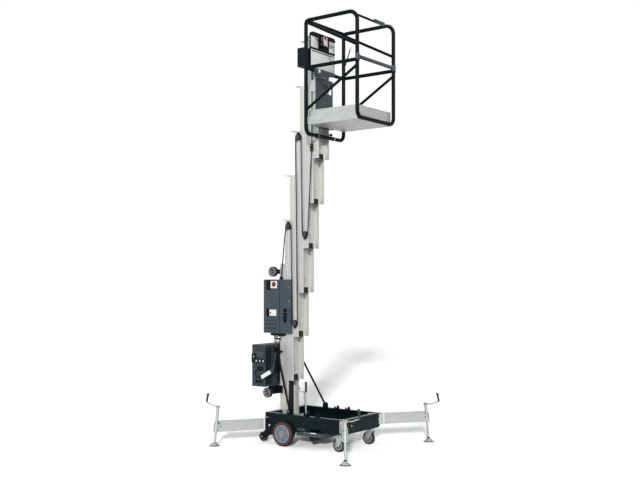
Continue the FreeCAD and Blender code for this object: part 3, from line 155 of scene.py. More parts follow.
# Finishes: base colour, how far it varies, roughness and its variation, metal, grain of the bump
finishes = {
    "black_paint": {"color": (0.0022, 0.0052, 0.0066), "other": (0.0045, 0.009, 0.011),
                    "rough": (0.34, 0.5), "metal": 0.0, "scale": 9, "grain": 260, "bump": 0.05,
                    "shine": 0.06},
    "mast_aluminium": {"color": (0.66, 0.66, 0.62), "other": (0.53, 0.54, 0.52),
                       "rough": (0.34, 0.5), "metal": 0.35, "scale": 3, "grain": 300, "bump": 0.06,
                       "stretch": (60, 60, 1.2)},
    "plate_aluminium": {"color": (0.53, 0.55, 0.53), "other": (0.38, 0.40, 0.39),
                        "rough": (0.36, 0.55), "metal": 0.5, "scale": 9, "grain": 160,
                        "bump": 0.10, "stretch": (1, 1, 3)},
    "zinc_steel": {"color": (0.52, 0.54, 0.53), "other": (0.32, 0.34, 0.35), "rough": (0.28, 0.5),
                   "metal": 0.8, "scale": 40, "grain": 300, "bump": 0.08},
    "grey_steel": {"color": (0.040, 0.055, 0.065), "other": (0.055, 0.075, 0.088),
                   "rough": (0.35, 0.5), "metal": 0.1, "scale": 12, "grain": 260, "bump": 0.03,
                   "shine": 0.3},
    "nylon": {"color": (0.004, 0.007, 0.008), "other": (0.008, 0.011, 0.013), "rough": (0.45, 0.6),
              "metal": 0.0, "scale": 20, "grain": 400, "bump": 0.06, "shine": 0.2},
    "slate_plastic": {"color": (0.040, 0.058, 0.068), "other": (0.054, 0.075, 0.087),
                      "rough": (0.42, 0.6), "metal": 0.0, "scale": 7, "grain": 900, "bump": 0.16,
                      "shine": 0.25},
    "black_plastic": {"color": (0.003, 0.006, 0.0075), "other": (0.007, 0.011, 0.013),
                      "rough": (0.4, 0.55), "metal": 0.0, "scale": 9, "grain": 700, "bump": 0.10,
                      "shine": 0.1},
    "brown_rubber": {"color": (0.010, 0.008, 0.009), "other": (0.020, 0.014, 0.014),
                     "rough": (0.6, 0.8), "metal": 0.0, "scale": 16, "grain": 500, "bump": 0.1,
                     "shine": 0.2},
    "hub_grey": {"color": (0.13, 0.175, 0.20), "other": (0.17, 0.215, 0.24), "rough": (0.35, 0.5),
                 "metal": 0.2, "scale": 14, "grain": 300, "bump": 0.05},
    "whitePlate": {"color": (0.86, 0.87, 0.85), "other": (0.78, 0.79, 0.77),
                   "rough": (0.35, 0.5), "metal": 0.0, "scale": 11, "grain": 300, "bump": 0.03,
                   "slot": "plate_aluminium"},
    "redKnob": {"color": (0.55, 0.018, 0.012), "other": (0.42, 0.012, 0.010), "rough": (0.3, 0.4),
                "metal": 0.0, "scale": 30, "grain": 500, "bump": 0.02, "slot": "black_plastic"},
    "goldBolt": {"color": (0.60, 0.34, 0.16), "other": (0.42, 0.22, 0.10), "rough": (0.3, 0.45),
                 "metal": 0.6, "scale": 90, "grain": 500, "bump": 0.04, "slot": "zinc_steel"},
    "brownBolt": {"color": (0.13, 0.045, 0.030), "other": (0.08, 0.03, 0.022),
                  "rough": (0.4, 0.6), "metal": 0.3, "scale": 90, "grain": 500, "bump": 0.04,
                  "slot": "zinc_steel"},
    "tyreFlank": {"color": (0.085, 0.026, 0.020), "other": (0.05, 0.018, 0.015),
                  "rough": (0.55, 0.7), "metal": 0.0, "scale": 40, "grain": 500, "bump": 0.1,
                  "slot": "brown_rubber"},
    "hubLight": {"color": (0.38, 0.46, 0.50), "other": (0.30, 0.37, 0.41), "rough": (0.3, 0.45),
                 "metal": 0.3, "scale": 30, "grain": 300, "bump": 0.03, "slot": "hub_grey"},
    # grooveShade is painted shade: a darker aluminium for the shadow down the mast's grooves
    "grooveShade": {"color": (0.17, 0.19, 0.195), "other": (0.12, 0.135, 0.14),
                    "rough": (0.4, 0.55), "metal": 0.3, "scale": 30, "grain": 300, "bump": 0.03,
                    "slot": "mast_aluminium"},
    "batterySlate": {"color": (0.024, 0.038, 0.045), "other": (0.036, 0.052, 0.060),
                     "rough": (0.42, 0.6), "metal": 0.0, "scale": 7, "grain": 900, "bump": 0.16,
                     "shine": 0.2, "slot": "slate_plastic"},
    "chassisGloss": {"color": (0.0018, 0.0070, 0.0085), "other": (0.0036, 0.0105, 0.0125),
                     "rough": (0.20, 0.32), "metal": 0.0, "scale": 9, "grain": 260, "bump": 0.02,
                     "shine": 0.09, "slot": "black_paint"},
    "blueDot": {"color": (0.012, 0.10, 0.42), "other": (0.010, 0.08, 0.34), "rough": (0.3, 0.4),
                "metal": 0.0, "scale": 30, "grain": 300, "bump": 0.02, "slot": "black_plastic"},
}
gripHeights = {"jack_cranks": 0.450, "brake_lever": 0.573}  # black rubber above, plated steel below
gripLook = {"color": (0.004, 0.006, 0.007, 1), "rough": 0.6}


def makeFinish(name, look, gripAbove=None):
    paint = bpy.data.materials.new(name)
    paint.use_nodes = True
    tree = paint.node_tree
    shader = tree.nodes["Principled BSDF"]
    shader.inputs["Metallic"].default_value = look["metal"]
    shader.inputs["Specular IOR Level"].default_value = look.get("shine", 0.5)
    where = tree.nodes.new("ShaderNodeTexCoord")
    mapping = tree.nodes.new("ShaderNodeMapping")
    mapping.inputs["Scale"].default_value = look.get("stretch", (1, 1, 1))
    tree.links.new(where.outputs["Object"], mapping.inputs["Vector"])
    cloud = tree.nodes.new("ShaderNodeTexNoise")
    cloud.inputs["Scale"].default_value = look["scale"]
    cloud.inputs["Detail"].default_value = 4
    tree.links.new(mapping.outputs[0], cloud.inputs["Vector"])
    blend = tree.nodes.new("ShaderNodeMix")
    blend.data_type = "RGBA"
    blend.inputs["A"].default_value = (*look["color"], 1)
    blend.inputs["B"].default_value = (*look["other"], 1)
    tree.links.new(cloud.outputs["Fac"], blend.inputs["Factor"])
    spread = tree.nodes.new("ShaderNodeMapRange")
    spread.inputs["To Min"].default_value = look["rough"][0]
    spread.inputs["To Max"].default_value = look["rough"][1]
    tree.links.new(cloud.outputs["Fac"], spread.inputs["Value"])
    color, rough = blend.outputs["Result"], spread.outputs[0]
    if gripAbove:
        split = tree.nodes.new("ShaderNodeSeparateXYZ")
        tree.links.new(where.outputs["Object"], split.inputs[0])
        above = tree.nodes.new("ShaderNodeMath")
        above.operation = "GREATER_THAN"
        above.inputs[1].default_value = gripAbove
        tree.links.new(split.outputs["Z"], above.inputs[0])
        cover = tree.nodes.new("ShaderNodeMix")
        cover.data_type = "RGBA"
        cover.inputs["B"].default_value = gripLook["color"]
        tree.links.new(above.outputs[0], cover.inputs["Factor"])
        tree.links.new(color, cover.inputs["A"])
        coverRough = tree.nodes.new("ShaderNodeMix")
        coverRough.inputs["B"].default_value = gripLook["rough"]
        tree.links.new(above.outputs[0], coverRough.inputs["Factor"])
        tree.links.new(rough, coverRough.inputs["A"])
        plated = tree.nodes.new("ShaderNodeMath")
        plated.operation = "MULTIPLY_ADD"
        plated.inputs[1].default_value = -look["metal"]
        plated.inputs[2].default_value = look["metal"]
        tree.links.new(above.outputs[0], plated.inputs[0])
        tree.links.new(plated.outputs[0], shader.inputs["Metallic"])
        color, rough = cover.outputs["Result"], coverRough.outputs["Result"]
    tree.links.new(color, shader.inputs["Base Color"])
    tree.links.new(rough, shader.inputs["Roughness"])
    grain = tree.nodes.new("ShaderNodeTexNoise")
    grain.inputs["Scale"].default_value = look["grain"]
    tree.links.new(where.outputs["Object"], grain.inputs["Vector"])
    bump = tree.nodes.new("ShaderNodeBump")
    bump.inputs["Strength"].default_value = look["bump"]
    bump.inputs["Distance"].default_value = 0.002
    tree.links.new(grain.outputs["Fac"], bump.inputs["Height"])
    tree.links.new(bump.outputs[0], shader.inputs["Normal"])
    return paint


paints = {name: makeFinish(name, look) for name, look in finishes.items()}
for row in frame["record"]["subparts"]:
    mesh = nodes[row["node"]].data
    mesh.materials.clear()
    mesh.materials.append(paints[row["material_slot"]])
for name, paint in (("mount_plate", "grey_steel"), ("battery_pack", "batterySlate"),
                    ("chassis_frame", "chassisGloss")):
    nodes[name].data.materials[0] = paints[paint]
for name, height in gripHeights.items():
    nodes[name].data.materials[0] = makeFinish(name + "Grip", finishes["zinc_steel"], height)
print("finishes made")


def pick(*pieces):
    if bpy.context.object and bpy.context.object.mode != "OBJECT":
        bpy.ops.object.mode_set(mode="OBJECT")
    bpy.ops.object.select_all(action="DESELECT")
    for piece in pieces:
        piece.select_set(True)
    bpy.context.view_layer.objects.active = pieces[0]


def pickFaces(piece, wanted):
    pick(piece)
    bpy.ops.object.mode_set(mode="EDIT")
    bpy.ops.mesh.select_mode(type="FACE")
    bpy.ops.mesh.select_all(action="DESELECT")
    shape = bmesh.from_edit_mesh(piece.data)
    for face in shape.faces:
        face.select_set(wanted(face))
    bmesh.update_edit_mesh(piece.data)


def stepFaces(way, steps):
    for narrower, rise in steps:
        bpy.ops.mesh.inset(thickness=narrower, depth=0)
        bpy.ops.mesh.extrude_region_move(TRANSFORM_OT_translate={"value": Vector(way) * rise})
    bpy.ops.object.mode_set(mode="OBJECT")


def settle(piece):
    pick(piece)
    bpy.ops.object.transform_apply(location=True, rotation=True, scale=True)


def soften(piece, width, segments=2):
    bevel = piece.modifiers.new("edges", "BEVEL")
    bevel.width = width
    bevel.segments = segments
    bevel.limit_method = "ANGLE"
    pick(piece)
    bpy.ops.object.modifier_apply(modifier="edges")
    bpy.ops.object.shade_smooth_by_angle(angle=math.radians(35))


def keep(piece, name, body, paint):
    settle(piece)
    piece.name = name
    piece.data.name = name
    piece.data.materials.clear()
    piece.data.materials.append(paints[paint])
    if body:
        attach(piece, body)
    return piece


def addBlock(low, high, soft=0.001, face=None, steps=()):
    middle = [(a + b) / 2 for a, b in zip(low, high)]
    bpy.ops.mesh.primitive_cube_add(size=1, location=middle)
    piece = bpy.context.object
    piece.scale = [b - a for a, b in zip(low, high)]
    settle(piece)
    if face:
        pickFaces(piece, lambda side: side.normal.dot(Vector(face)) > 0.9)
        stepFaces(face, steps)
    soften(piece, soft)
    return piece


def addTurned(place, facing, radius, length, steps=(), soft=0.0005, sides=24):
    bpy.ops.mesh.primitive_cylinder_add(vertices=sides, radius=radius, depth=length,
                                        location=(0, 0, length / 2))
    piece = bpy.context.object
    settle(piece)
    if steps:
        pickFaces(piece, lambda side: side.normal.z > 0.9)
        stepFaces((0, 0, 1), steps)
    soften(piece, soft)
    piece.rotation_euler = Vector(facing).to_track_quat("Z", "Y").to_euler()
    piece.location = place
    settle(piece)
    return piece


def addRing(place, facing, radius, wide, thick, sides=40):
    bpy.ops.mesh.primitive_torus_add(major_radius=radius, minor_radius=wide / 2,
                                     major_segments=sides, minor_segments=10)
    piece = bpy.context.object
    piece.scale.z = thick / wide
    settle(piece)
    piece.rotation_euler = Vector(facing).to_track_quat("Z", "Y").to_euler()
    piece.location = place
    settle(piece)
    bpy.ops.object.shade_smooth_by_angle(angle=math.radians(60))
    return piece


def addTube(points, radius, smooth=False):
    line = bpy.data.curves.new("run", "CURVE")
    line.dimensions = "3D"
    line.bevel_depth = radius
    line.bevel_resolution = 3
    line.use_fill_caps = True
    spline = line.splines.new("NURBS" if smooth else "POLY")
    spline.points.add(len(points) - 1)
    for spot, place in zip(spline.points, points):
        spot.co = (*place, 1)
    if smooth:
        spline.order_u = 3
        spline.use_endpoint_u = True
        spline.resolution_u = 8
    piece = bpy.data.objects.new("run", line)
    collection.objects.link(piece)
    pick(piece)
    bpy.ops.object.convert(target="MESH")
    piece = bpy.context.object
    bpy.ops.object.shade_smooth_by_angle(angle=math.radians(40))
    return piece


def joined(pieces):
    pick(*pieces)
    if len(pieces) > 1:
        bpy.ops.object.join()
    return bpy.context.object


def addBolts(name, body, paint, facing, places, radius=0.007, length=0.004, sides=6):
    first = addTurned((0, 0, 0), facing, radius, length, [(radius * 0.3, 0.0012)], 0.0006, sides)
    heads = []
    for place in places:
        head = first.copy()
        head.data = first.data.copy()
        head.location = place
        collection.objects.link(head)
        settle(head)
        heads.append(head)
    bpy.data.objects.remove(first)
    return keep(joined(heads), name, body, paint)


# In the tables below a plate has its name, finish, low and high corner, softened edge, facing and
# the steps of inset and rise on that face. A knob has its name, finish, place, facing, radius,
# length, steps, softened edge and facets.
def addPlates(body, plates):
    for name, paint, low, high, soft, facing, steps in plates:
        keep(addBlock(low, high, soft, facing, steps), name, body, paint)


def addKnobs(body, knobs):
    for name, paint, place, facing, radius, length, steps, soft, facets in knobs:
        keep(addTurned(place, facing, radius, length, steps, soft, facets), name, body, paint)


sides = (("right", -1), ("left", 1))
nearSide, foreSide, upward, downward = (0, -1, 0), (1, 0, 0), (0, 0, 1), (0, 0, -1)

# Rear wheels, casters and tilt wheels: where each stands and the rings seen on its faces, a ring
# with its radius, width and thickness
rearWheel = {"x": -0.246, "z": 0.133, "face": 0.398, "hubIn": 0.002, "boltOut": 0.004,
             "flank": (0.1095, 0.026, 0.006), "rim": (0.0905, 0.007, 0.006),
             "inner": (0.031, 0.006, 0.005), "capRadius": 0.019, "boltRadius": 0.011}
casterWheel = {"x": 0.410, "y": 0.275, "z": 0.069, "half": 0.016, "hubIn": 0.002, "hub": 0.043,
               "flank": (0.057, 0.013, 0.004), "rim": (0.0455, 0.005, 0.004)}
tiltWheel = {"x": -0.566, "y": 0.319, "z": 0.067, "half": 0.015, "boltY": 0.344,
             "flank": (0.039, 0.013, 0.003)}


def makeRearWheels():
    wheel = rearWheel
    for side, sign in sides:
        out, body = (0, sign, 0), "rear_wheel_" + side
        centre = (wheel["x"], sign * wheel["face"], wheel["z"])
        hubFace = (wheel["x"], sign * (wheel["face"] - wheel["hubIn"]), wheel["z"])
        boltFace = (wheel["x"], sign * (wheel["face"] + wheel["boltOut"]), wheel["z"])
        keep(addRing(centre, out, *wheel["flank"]), "rearTyreFlank." + side, body, "tyreFlank")
        keep(addRing(hubFace, out, *wheel["rim"]), "rearRim." + side, body, "hubLight")
        keep(addRing(hubFace, out, *wheel["inner"]), "rearHubRing." + side, body, "hubLight")
        cap = addTurned(hubFace, out, wheel["capRadius"], 0.004, [(0.004, 0.002)])
        keep(cap, "rearHubCap." + side, body, "hub_grey")
        bolt = addTurned(boltFace, out, wheel["boltRadius"], 0.005, [(0.003, 0.002)], 0.0008, 6)
        keep(bolt, "rearWheelBolt." + side, body, "goldBolt")


def wheelFaces(wheel):
    for side, sign in sides:
        for face in (1, -1):
            spot = (wheel["x"], sign * wheel["y"] + face * wheel["half"], wheel["z"])
            yield side, face, spot, side + (".outer" if face == sign else ".inner")


def makeSmallWheels():
    for side, face, spot, where in wheelFaces(casterWheel):
        body, way = "caster_" + side, (0, face, 0)
        keep(addRing(spot, way, *casterWheel["flank"]), "casterFlank." + where, body, "tyreFlank")
        keep(addRing(spot, way, *casterWheel["rim"]), "casterRim." + where, body, "hubLight")
        hubFace = (spot[0], spot[1] - face * casterWheel["hubIn"], spot[2])
        disc = addTurned(hubFace, way, casterWheel["hub"], 0.003,
                         [(0.012, -0.0012), (0.010, 0.0016)])
        keep(disc, "casterDisc." + where, body, "hub_grey")
    for side, face, spot, where in wheelFaces(tiltWheel):
        keep(addRing(spot, (0, face, 0), *tiltWheel["flank"]), "tiltFlank." + where,
             "tilt_wheel_" + side, "tyreFlank")
    for side, sign in sides:
        addBolts("tiltBolt." + side, "chassis", "goldBolt", (0, sign, 0),
                 [(tiltWheel["x"], sign * tiltWheel["boltY"], tiltWheel["z"])], 0.010, 0.005)


loadingWheels = {
    "loading_wheels_low": {"x": -0.572, "y": 0.257, "z": 0.533},
    "loading_wheels_high": {"x": -0.566, "y": 0.172, "z": 1.855},
}
loadingRings = {"flank": (0.049, 0.010, 0.004), "outer": (0.0405, 0.006, 0.004),
                "inner": (0.0245, 0.004, 0.004), "innerOut": 0.003, "bolt": 0.009}


def makeLoadingWheels():
    for body, wheel in loadingWheels.items():
        for side, sign in sides:
            out = (0, sign, 0)
            spot = (wheel["x"], sign * wheel["y"], wheel["z"])
            proud = (wheel["x"], sign * (wheel["y"] + loadingRings["innerOut"]), wheel["z"])
            name = body.replace("loading_wheels_", "loading.") + "." + side
            keep(addRing(spot, out, *loadingRings["flank"]), name + ".flank", body, "tyreFlank")
            keep(addRing(spot, out, *loadingRings["outer"]), name + ".rim", body, "hubLight")
            keep(addRing(proud, out, *loadingRings["inner"]), name + ".ring", body, "hubLight")
            bolt = addTurned(proud, out, loadingRings["bolt"], 0.003, [(0.002, 0.002)], 0.0006, 6)
            keep(bolt, name + ".bolt", body, "goldBolt")


makeRearWheels()
makeSmallWheels()
makeLoadingWheels()
print("wheels made")

# Outrigger beams: where each starts in its socket, and where its jack stands. The jack leans, so
# its axis runs from the foot to a knuckle a little way in along the beam
beams = {"rear": {"from": (-0.462, 0.209), "low": 0.150, "collarAt": 0.225, "sign": -1},
         "front": {"from": (0.462, 0.292), "low": 0.220, "collarAt": 0.165, "sign": 1}}
beamShape = {"half": 0.029, "high": 0.112, "jackX": 0.85, "jackY": 0.79, "boltAt": 0.915,
             "topBoltAt": 0.86, "collarLong": 0.012, "collarProud": 0.003, "collarOver": 0.002}
jack = {"sleeveTop": 0.084, "collarRadius": 0.0200, "collarHigh": 0.020, "collarDown": 0.002,
        "knuckleIn": 0.0361, "knuckleZ": 0.414, "knuckleHalf": 0.012, "neckRadius": 0.018,
        "neckLow": {"rear": 0.029, "front": 0.040}, "neckHigh": 0.009, "rimRadius": 0.0532,
        "rimZ": 0.0048}

# Radius, length, steps, softened edge and facets
sideBolt = (0.0075, 0.004, [(0.002, 0.0015)], 0.0006, 6)
topBolt = (0.006, 0.003, [(0.0015, 0.001)], 0.0005, 6)


def beamFrame(fore, sign):
    start = Vector((beams[fore]["from"][0], sign * beams[fore]["from"][1], 0))
    end = Vector((beams[fore]["sign"] * beamShape["jackX"], sign * beamShape["jackY"], 0))
    run = end - start
    side = Vector((-run.y, run.x, 0)).normalized()
    return start, run, side


def makeBeamDetails():
    for fore in beams:
        low = beams[fore]["low"]
        middle = low + beamShape["high"] / 2
        for side, sign in sides:
            start, run, across = beamFrame(fore, sign)
            turn = math.atan2(run.y, run.x)
            spot = start + run * beams[fore]["collarAt"]
            reach = (beamShape["collarLong"] / 2, beamShape["half"] + beamShape["collarProud"],
                     beamShape["high"] / 2 + beamShape["collarOver"])
            collar = addBlock([-half for half in reach], reach, 0.0015)
            collar.rotation_euler = (0, 0, turn)
            collar.location = (spot.x, spot.y, middle)
            keep(collar, "beamCollar.%s.%s" % (fore, side), "chassis", "whitePlate")
            heads = []
            for face in (1, -1):
                place = start + run * beamShape["boltAt"] + across * face * beamShape["half"]
                place.z = middle
                heads.append(addTurned(place, across * face, *sideBolt))
            top = start + run * beamShape["topBoltAt"]
            top.z = low + beamShape["high"]
            heads.append(addTurned(top, upward, *topBolt))
            keep(joined(heads), "beamBolts.%s.%s" % (fore, side), "chassis", "brownBolt")


def makeJackDetails():
    for fore in beams:
        for side, sign in sides:
            foot = Vector((beams[fore]["sign"] * beamShape["jackX"], sign * beamShape["jackY"], 0))
            run = beamFrame(fore, sign)[1]
            tip = foot - run.normalized() * jack["knuckleIn"]
            tip.z = jack["knuckleZ"]
            up = (tip - foot).normalized()
            sleeveTop = beams[fore]["low"] + jack["sleeveTop"]
            spot = foot + up * (sleeveTop / up.z - jack["collarDown"])
            name = "%s.%s" % (fore, side)
            collar = addRing(spot + up * jack["collarHigh"] / 2, up, jack["collarRadius"], 0.009,
                             jack["collarHigh"])
            keep(collar, "jackCollar." + name, "chassis", "zinc_steel")
            bolts = []
            for face in (1, -1):
                place = tip + Vector((0, face * jack["knuckleHalf"], 0))
                bolts.append(addTurned(place, (0, face, 0), *sideBolt))
            keep(joined(bolts), "jackHeadBolt." + name, "chassis", "goldBolt")
            body = "jack_%s_%s" % (fore, side)
            neck = addTurned(foot + up * jack["neckLow"][fore], up, jack["neckRadius"],
                             jack["neckHigh"], [(0.002, 0.003)], 0.001)
            keep(neck, "footNeck." + name, body, "black_plastic")
            rim = addRing((foot.x, foot.y, jack["rimZ"]), upward, jack["rimRadius"], 0.0055, 0.008)
            keep(rim, "footRim." + name, body, "black_plastic")


makeBeamDetails()
makeJackDetails()
print("beams and jacks dressed")

# Power unit: what sits in its two recesses, on its cheek and below it
power = {
    "seamX": (-0.497, -0.491), "seamY": (0.1344, 0.1358), "seamZ": (1.178, 1.766),
    "plates": [
        ("upperRecessBar", "black_plastic", (-0.684, -0.122, 1.656), (-0.641, -0.111, 1.756),
         0.002, nearSide, [(0.006, -0.004)]),
        ("upperRecessPlate", "whitePlate", (-0.637, -0.117, 1.672), (-0.540, -0.111, 1.753),
         0.003, nearSide, [(0.004, 0.0012)]),
        ("lowerRecessBar", "black_plastic", (-0.690, -0.117, 1.360), (-0.655, -0.111, 1.443),
         0.002, nearSide, [(0.005, -0.003)]),
        ("lowerRecessPlate", "whitePlate", (-0.654, -0.117, 1.366), (-0.543, -0.111, 1.436),
         0.003, nearSide, [(0.004, 0.0012)]),
        ("slotLiner", "black_plastic", (-0.447, -0.1145, 1.297), (-0.387, -0.1065, 1.452),
         0.001, nearSide, [(0.006, -0.004)]),
        ("slotBar", "slate_plastic", (-0.446, -0.1335, 1.405), (-0.388, -0.1145, 1.412),
         0.001, nearSide, [(0.0015, 0.0008)]),
        ("lowerSeal", "black_plastic", (-0.637, -0.118, 1.152), (-0.433, -0.102, 1.1775),
         0.002, downward, [(0.003, 0.004)]),
    ],
    "knobs": [
        ("stopRing", "black_plastic", (-0.588, -0.117, 1.716), nearSide, 0.026, 0.007,
         [(0.005, -0.003)], 0.001, 36),
        ("stopButton", "redKnob", (-0.588, -0.119, 1.716), nearSide, 0.0155, 0.010,
         [(0.003, 0.003)], 0.0015, 32),
        ("keyKnob", "redKnob", (-0.635, -0.117, 1.401), nearSide, 0.0095, 0.009,
         [(0.002, 0.002)], 0.001, 24),
    ],
    "cheekBolts": [(-0.367, -0.135, 1.683), (-0.362, -0.135, 1.534)],
    "slotBolt": (-0.383, -0.127, 1.375),
    "ribX": (-0.712, -0.545), "ribY": (-0.1358, -0.1345), "ribZ": (1.230, 1.274, 1.318),
    "ribHalf": 0.003, "scoop": (-0.277, -0.1352, 1.363), "scoopRadius": 0.114,
    "scoopFrom": 124, "scoopSweep": 112, "scoopSteps": 12, "scoopThick": 0.0014,
    "glandX": (-0.570, -0.542, -0.510), "glandY": -0.120, "glandZ": 1.128,
    "glandRings": [(-0.570, -0.120, 1.131), (-0.542, -0.120, 1.146)],
    "glandSeal": (-0.570, -0.120, 1.118),
}


def makePowerDetails():
    for side, sign in sides:
        edges = sorted(sign * y for y in power["seamY"])
        seam = addBlock((power["seamX"][0], edges[0], power["seamZ"][0]),
                        (power["seamX"][1], edges[1], power["seamZ"][1]), 0.0003)
        keep(seam, "powerSeam." + side, "chassis", "black_plastic")
    addPlates("chassis", power["plates"])
    addKnobs("chassis", power["knobs"])
    addBolts("cheekBolts", "chassis", "goldBolt", nearSide, power["cheekBolts"], 0.008, 0.003)
    addBolts("slotBolt", "chassis", "brownBolt", nearSide, [power["slotBolt"]], 0.006, 0.003)
    # Thin black lines between the lower ribs of the power unit are painted shade for the shaded
    # valleys between the ribs.
    for index, z in enumerate(power["ribZ"]):
        low = (power["ribX"][0], power["ribY"][0], z - power["ribHalf"])
        high = (power["ribX"][1], power["ribY"][1], z + power["ribHalf"])
        valleyShade = addBlock(low, high, 0.0004, nearSide, [(0.001, -0.0003)])
        keep(valleyShade, "ribValleyShade.%d" % index, "chassis", "black_plastic")
    x, y, z = power["scoop"]
    arc = []
    for step in range(power["scoopSteps"] + 1):
        angle = math.radians(power["scoopFrom"] + power["scoopSweep"] * step / power["scoopSteps"])
        arc.append((x + power["scoopRadius"] * math.cos(angle), y,
                    z + power["scoopRadius"] * math.sin(angle)))
    keep(addTube(arc, power["scoopThick"]), "scoopEdge", "chassis", "hub_grey")
    glands = [addTurned((x, power["glandY"], power["glandZ"]), downward, 0.0125, 0.014,
                        [(0.003, 0.006)], 0.001, 16) for x in power["glandX"]]
    keep(joined(glands), "leadGlands", "chassis", "nylon")
    rings = [addRing(place, upward, 0.0135, 0.004, 0.006, 20) for place in power["glandRings"]]
    keep(joined(rings), "glandRings", "chassis", "whitePlate")
    seal = addRing(power["glandSeal"], upward, 0.0125, 0.004, 0.005, 20)
    keep(seal, "glandSeal", "chassis", "goldBolt")


# Battery pack: sight lights, recess, plug and the leads that climb to the power unit
battery = {
    "lights": [(-0.709, 0.924, -0.3205), (-0.673, 0.880, -0.317), (-0.622, 0.880, -0.317),
               (-0.576, 0.880, -0.317)],  # x, z, y
    "lightHalf": (0.008, 0.007, 0.007, 0.007), "lightHigh": 0.011,
    "plates": [
        ("batterySightBar", "black_plastic", (-0.694, -0.3165, 0.864), (-0.560, -0.3085, 0.898),
         0.002, nearSide, [(0.003, -0.001)]),
        ("batteryRecessPanel", "slate_plastic", (-0.690, -0.3115, 0.918), (-0.572, -0.3035, 0.982),
         0.002, nearSide, [(0.012, 0.003), (0.004, 0.001)]),
        ("batteryHandHold", "black_plastic", (-0.690, -0.316, 0.640), (-0.585, -0.309, 0.672),
         0.004, nearSide, [(0.006, -0.004)]),
    ],
    "plugCentre": (-0.520, -0.338, 0.737), "plugTurn": 29.0, "plugHalf": (0.062, 0.011, 0.020),
    "tailX": (0.060, 0.074), "tailHalf": 0.007, "tailZ": (-0.018, 0.004), "tailHigh": 0.014,
    "leadRadius": 0.0065, "leads": [(0.0, -0.570), (0.016, -0.542)],  # shift at the plug, gland's x
    "loop": [(-0.625, -0.322, 0.790), (-0.640, -0.334, 0.786), (-0.668, -0.338, 0.768),
             (-0.672, -0.338, 0.735), (-0.640, -0.338, 0.700), (-0.572, -0.338, 0.708)],
    "drop": [(-0.510, -0.120, 1.120), (-0.510, -0.122, 1.060), (-0.536, -0.128, 0.960),
             (-0.540, -0.125, 0.840), (-0.540, -0.118, 0.760), (-0.552, -0.118, 0.740)],
    "fluteX": (-0.558, -0.551), "fluteY": (-0.288, -0.255, -0.222, 0.222, 0.255, 0.288),
    "fluteZ": (0.625, 1.030), "fluteHalf": 0.008,
}


def makeBatteryDetails():
    addPlates("chassis", battery["plates"])
    panels = []
    for (x, z, y), wide in zip(battery["lights"], battery["lightHalf"]):
        panels.append(addBlock((x - wide, y - 0.002, z - battery["lightHigh"]),
                               (x + wide, y + 0.001, z + battery["lightHigh"]),
                               0.001, nearSide, [(0.0025, -0.001)]))
    keep(joined(panels), "batteryLights", "chassis", "whitePlate")
    addBolts("batteryLightCaps", "chassis", "goldBolt", nearSide,
             [(x, y - 0.002, z + 0.001) for x, z, y in battery["lights"]], 0.004, 0.0015, 12)
    low = [-half for half in battery["plugHalf"]]
    plug = addBlock(low, battery["plugHalf"], 0.003, nearSide, [(0.004, 0.0015), (0.004, -0.0015)])
    tail = [addBlock((battery["tailX"][0], -battery["tailHalf"], z),
                     (battery["tailX"][1], battery["tailHalf"], z + battery["tailHigh"]),
                     0.002, foreSide, [(0.002, 0.004)]) for z in battery["tailZ"]]
    plug = joined([plug] + tail)
    plug.rotation_euler = (0, -math.radians(battery["plugTurn"]), 0)
    plug.location = battery["plugCentre"]
    keep(plug, "batteryPlug", "chassis", "whitePlate")
    loop = addTube(battery["loop"], battery["leadRadius"], True)
    keep(loop, "batteryLoop", "chassis", "black_plastic")
    for index, (shift, top) in enumerate(battery["leads"]):
        run = [(-0.459 - shift / 3, -0.338, 0.770 - shift), (-0.440, -0.322, 0.800 - shift),
               (-0.470, -0.262, 0.845 - shift), (-0.520, -0.190, 0.880),
               (-0.538 - shift / 2, -0.150, 0.930), (-0.540 - shift / 2, -0.134, 1.039),
               (top, -0.122, 1.080), (top, -0.120, 1.112)]
        lead = addTube(run, battery["leadRadius"], True)
        keep(lead, "batteryLead.%d" % index, "chassis", "grey_steel")
    drop = addTube(battery["drop"], battery["leadRadius"], True)
    keep(drop, "motorLead", "chassis", "black_plastic")
    flutes = [addBlock((battery["fluteX"][0], y - battery["fluteHalf"], battery["fluteZ"][0]),
                       (battery["fluteX"][1], y + battery["fluteHalf"], battery["fluteZ"][1]),
                       0.003, foreSide, [(0.003, 0.0015)]) for y in battery["fluteY"]]
    keep(joined(flutes), "batteryFlutes", "chassis", "black_plastic")


makePowerDetails()
makeBatteryDetails()
print("power unit and battery dressed")

# Mast: the channels stand one in the other; each is a pitch forward and a rise up from the last
mast = {
    "back": -0.524, "pitch": 0.069, "low": 0.183, "rise": 0.481, "long": 1.760, "lastLong": 1.180,
    "wallX": 0.061, "boltY": 0.013, "boltUp": (0.112, 0.140),
    "slotShadeX": (-0.4605, -0.457), "slotShadeHalf": 0.070, "slotShadeZ": (0.185, 1.940),
    "tongueBack": 0.064, "tongueFore": 0.010, "tongueHalf": 0.096, "tongueThick": 0.0026,
    "grooves": (0.075, 0.098), "grooveWide": 0.004, "grooveFloor": 0.098,
    "stripThick": 0.0006, "stripGap": 0.0002, "stripShort": 0.002,
    "headBolts": [(-0.419, 0.100, 1.930), (-0.419, 0.100, 1.883)],
    "sideBolts": [(-0.513, 0.088, 1.119), (-0.513, 0.088, 1.097)],
}
bodies = ["chassis", "section_1", "section_2", "section_3", "section_4", "section_5", "platform"]


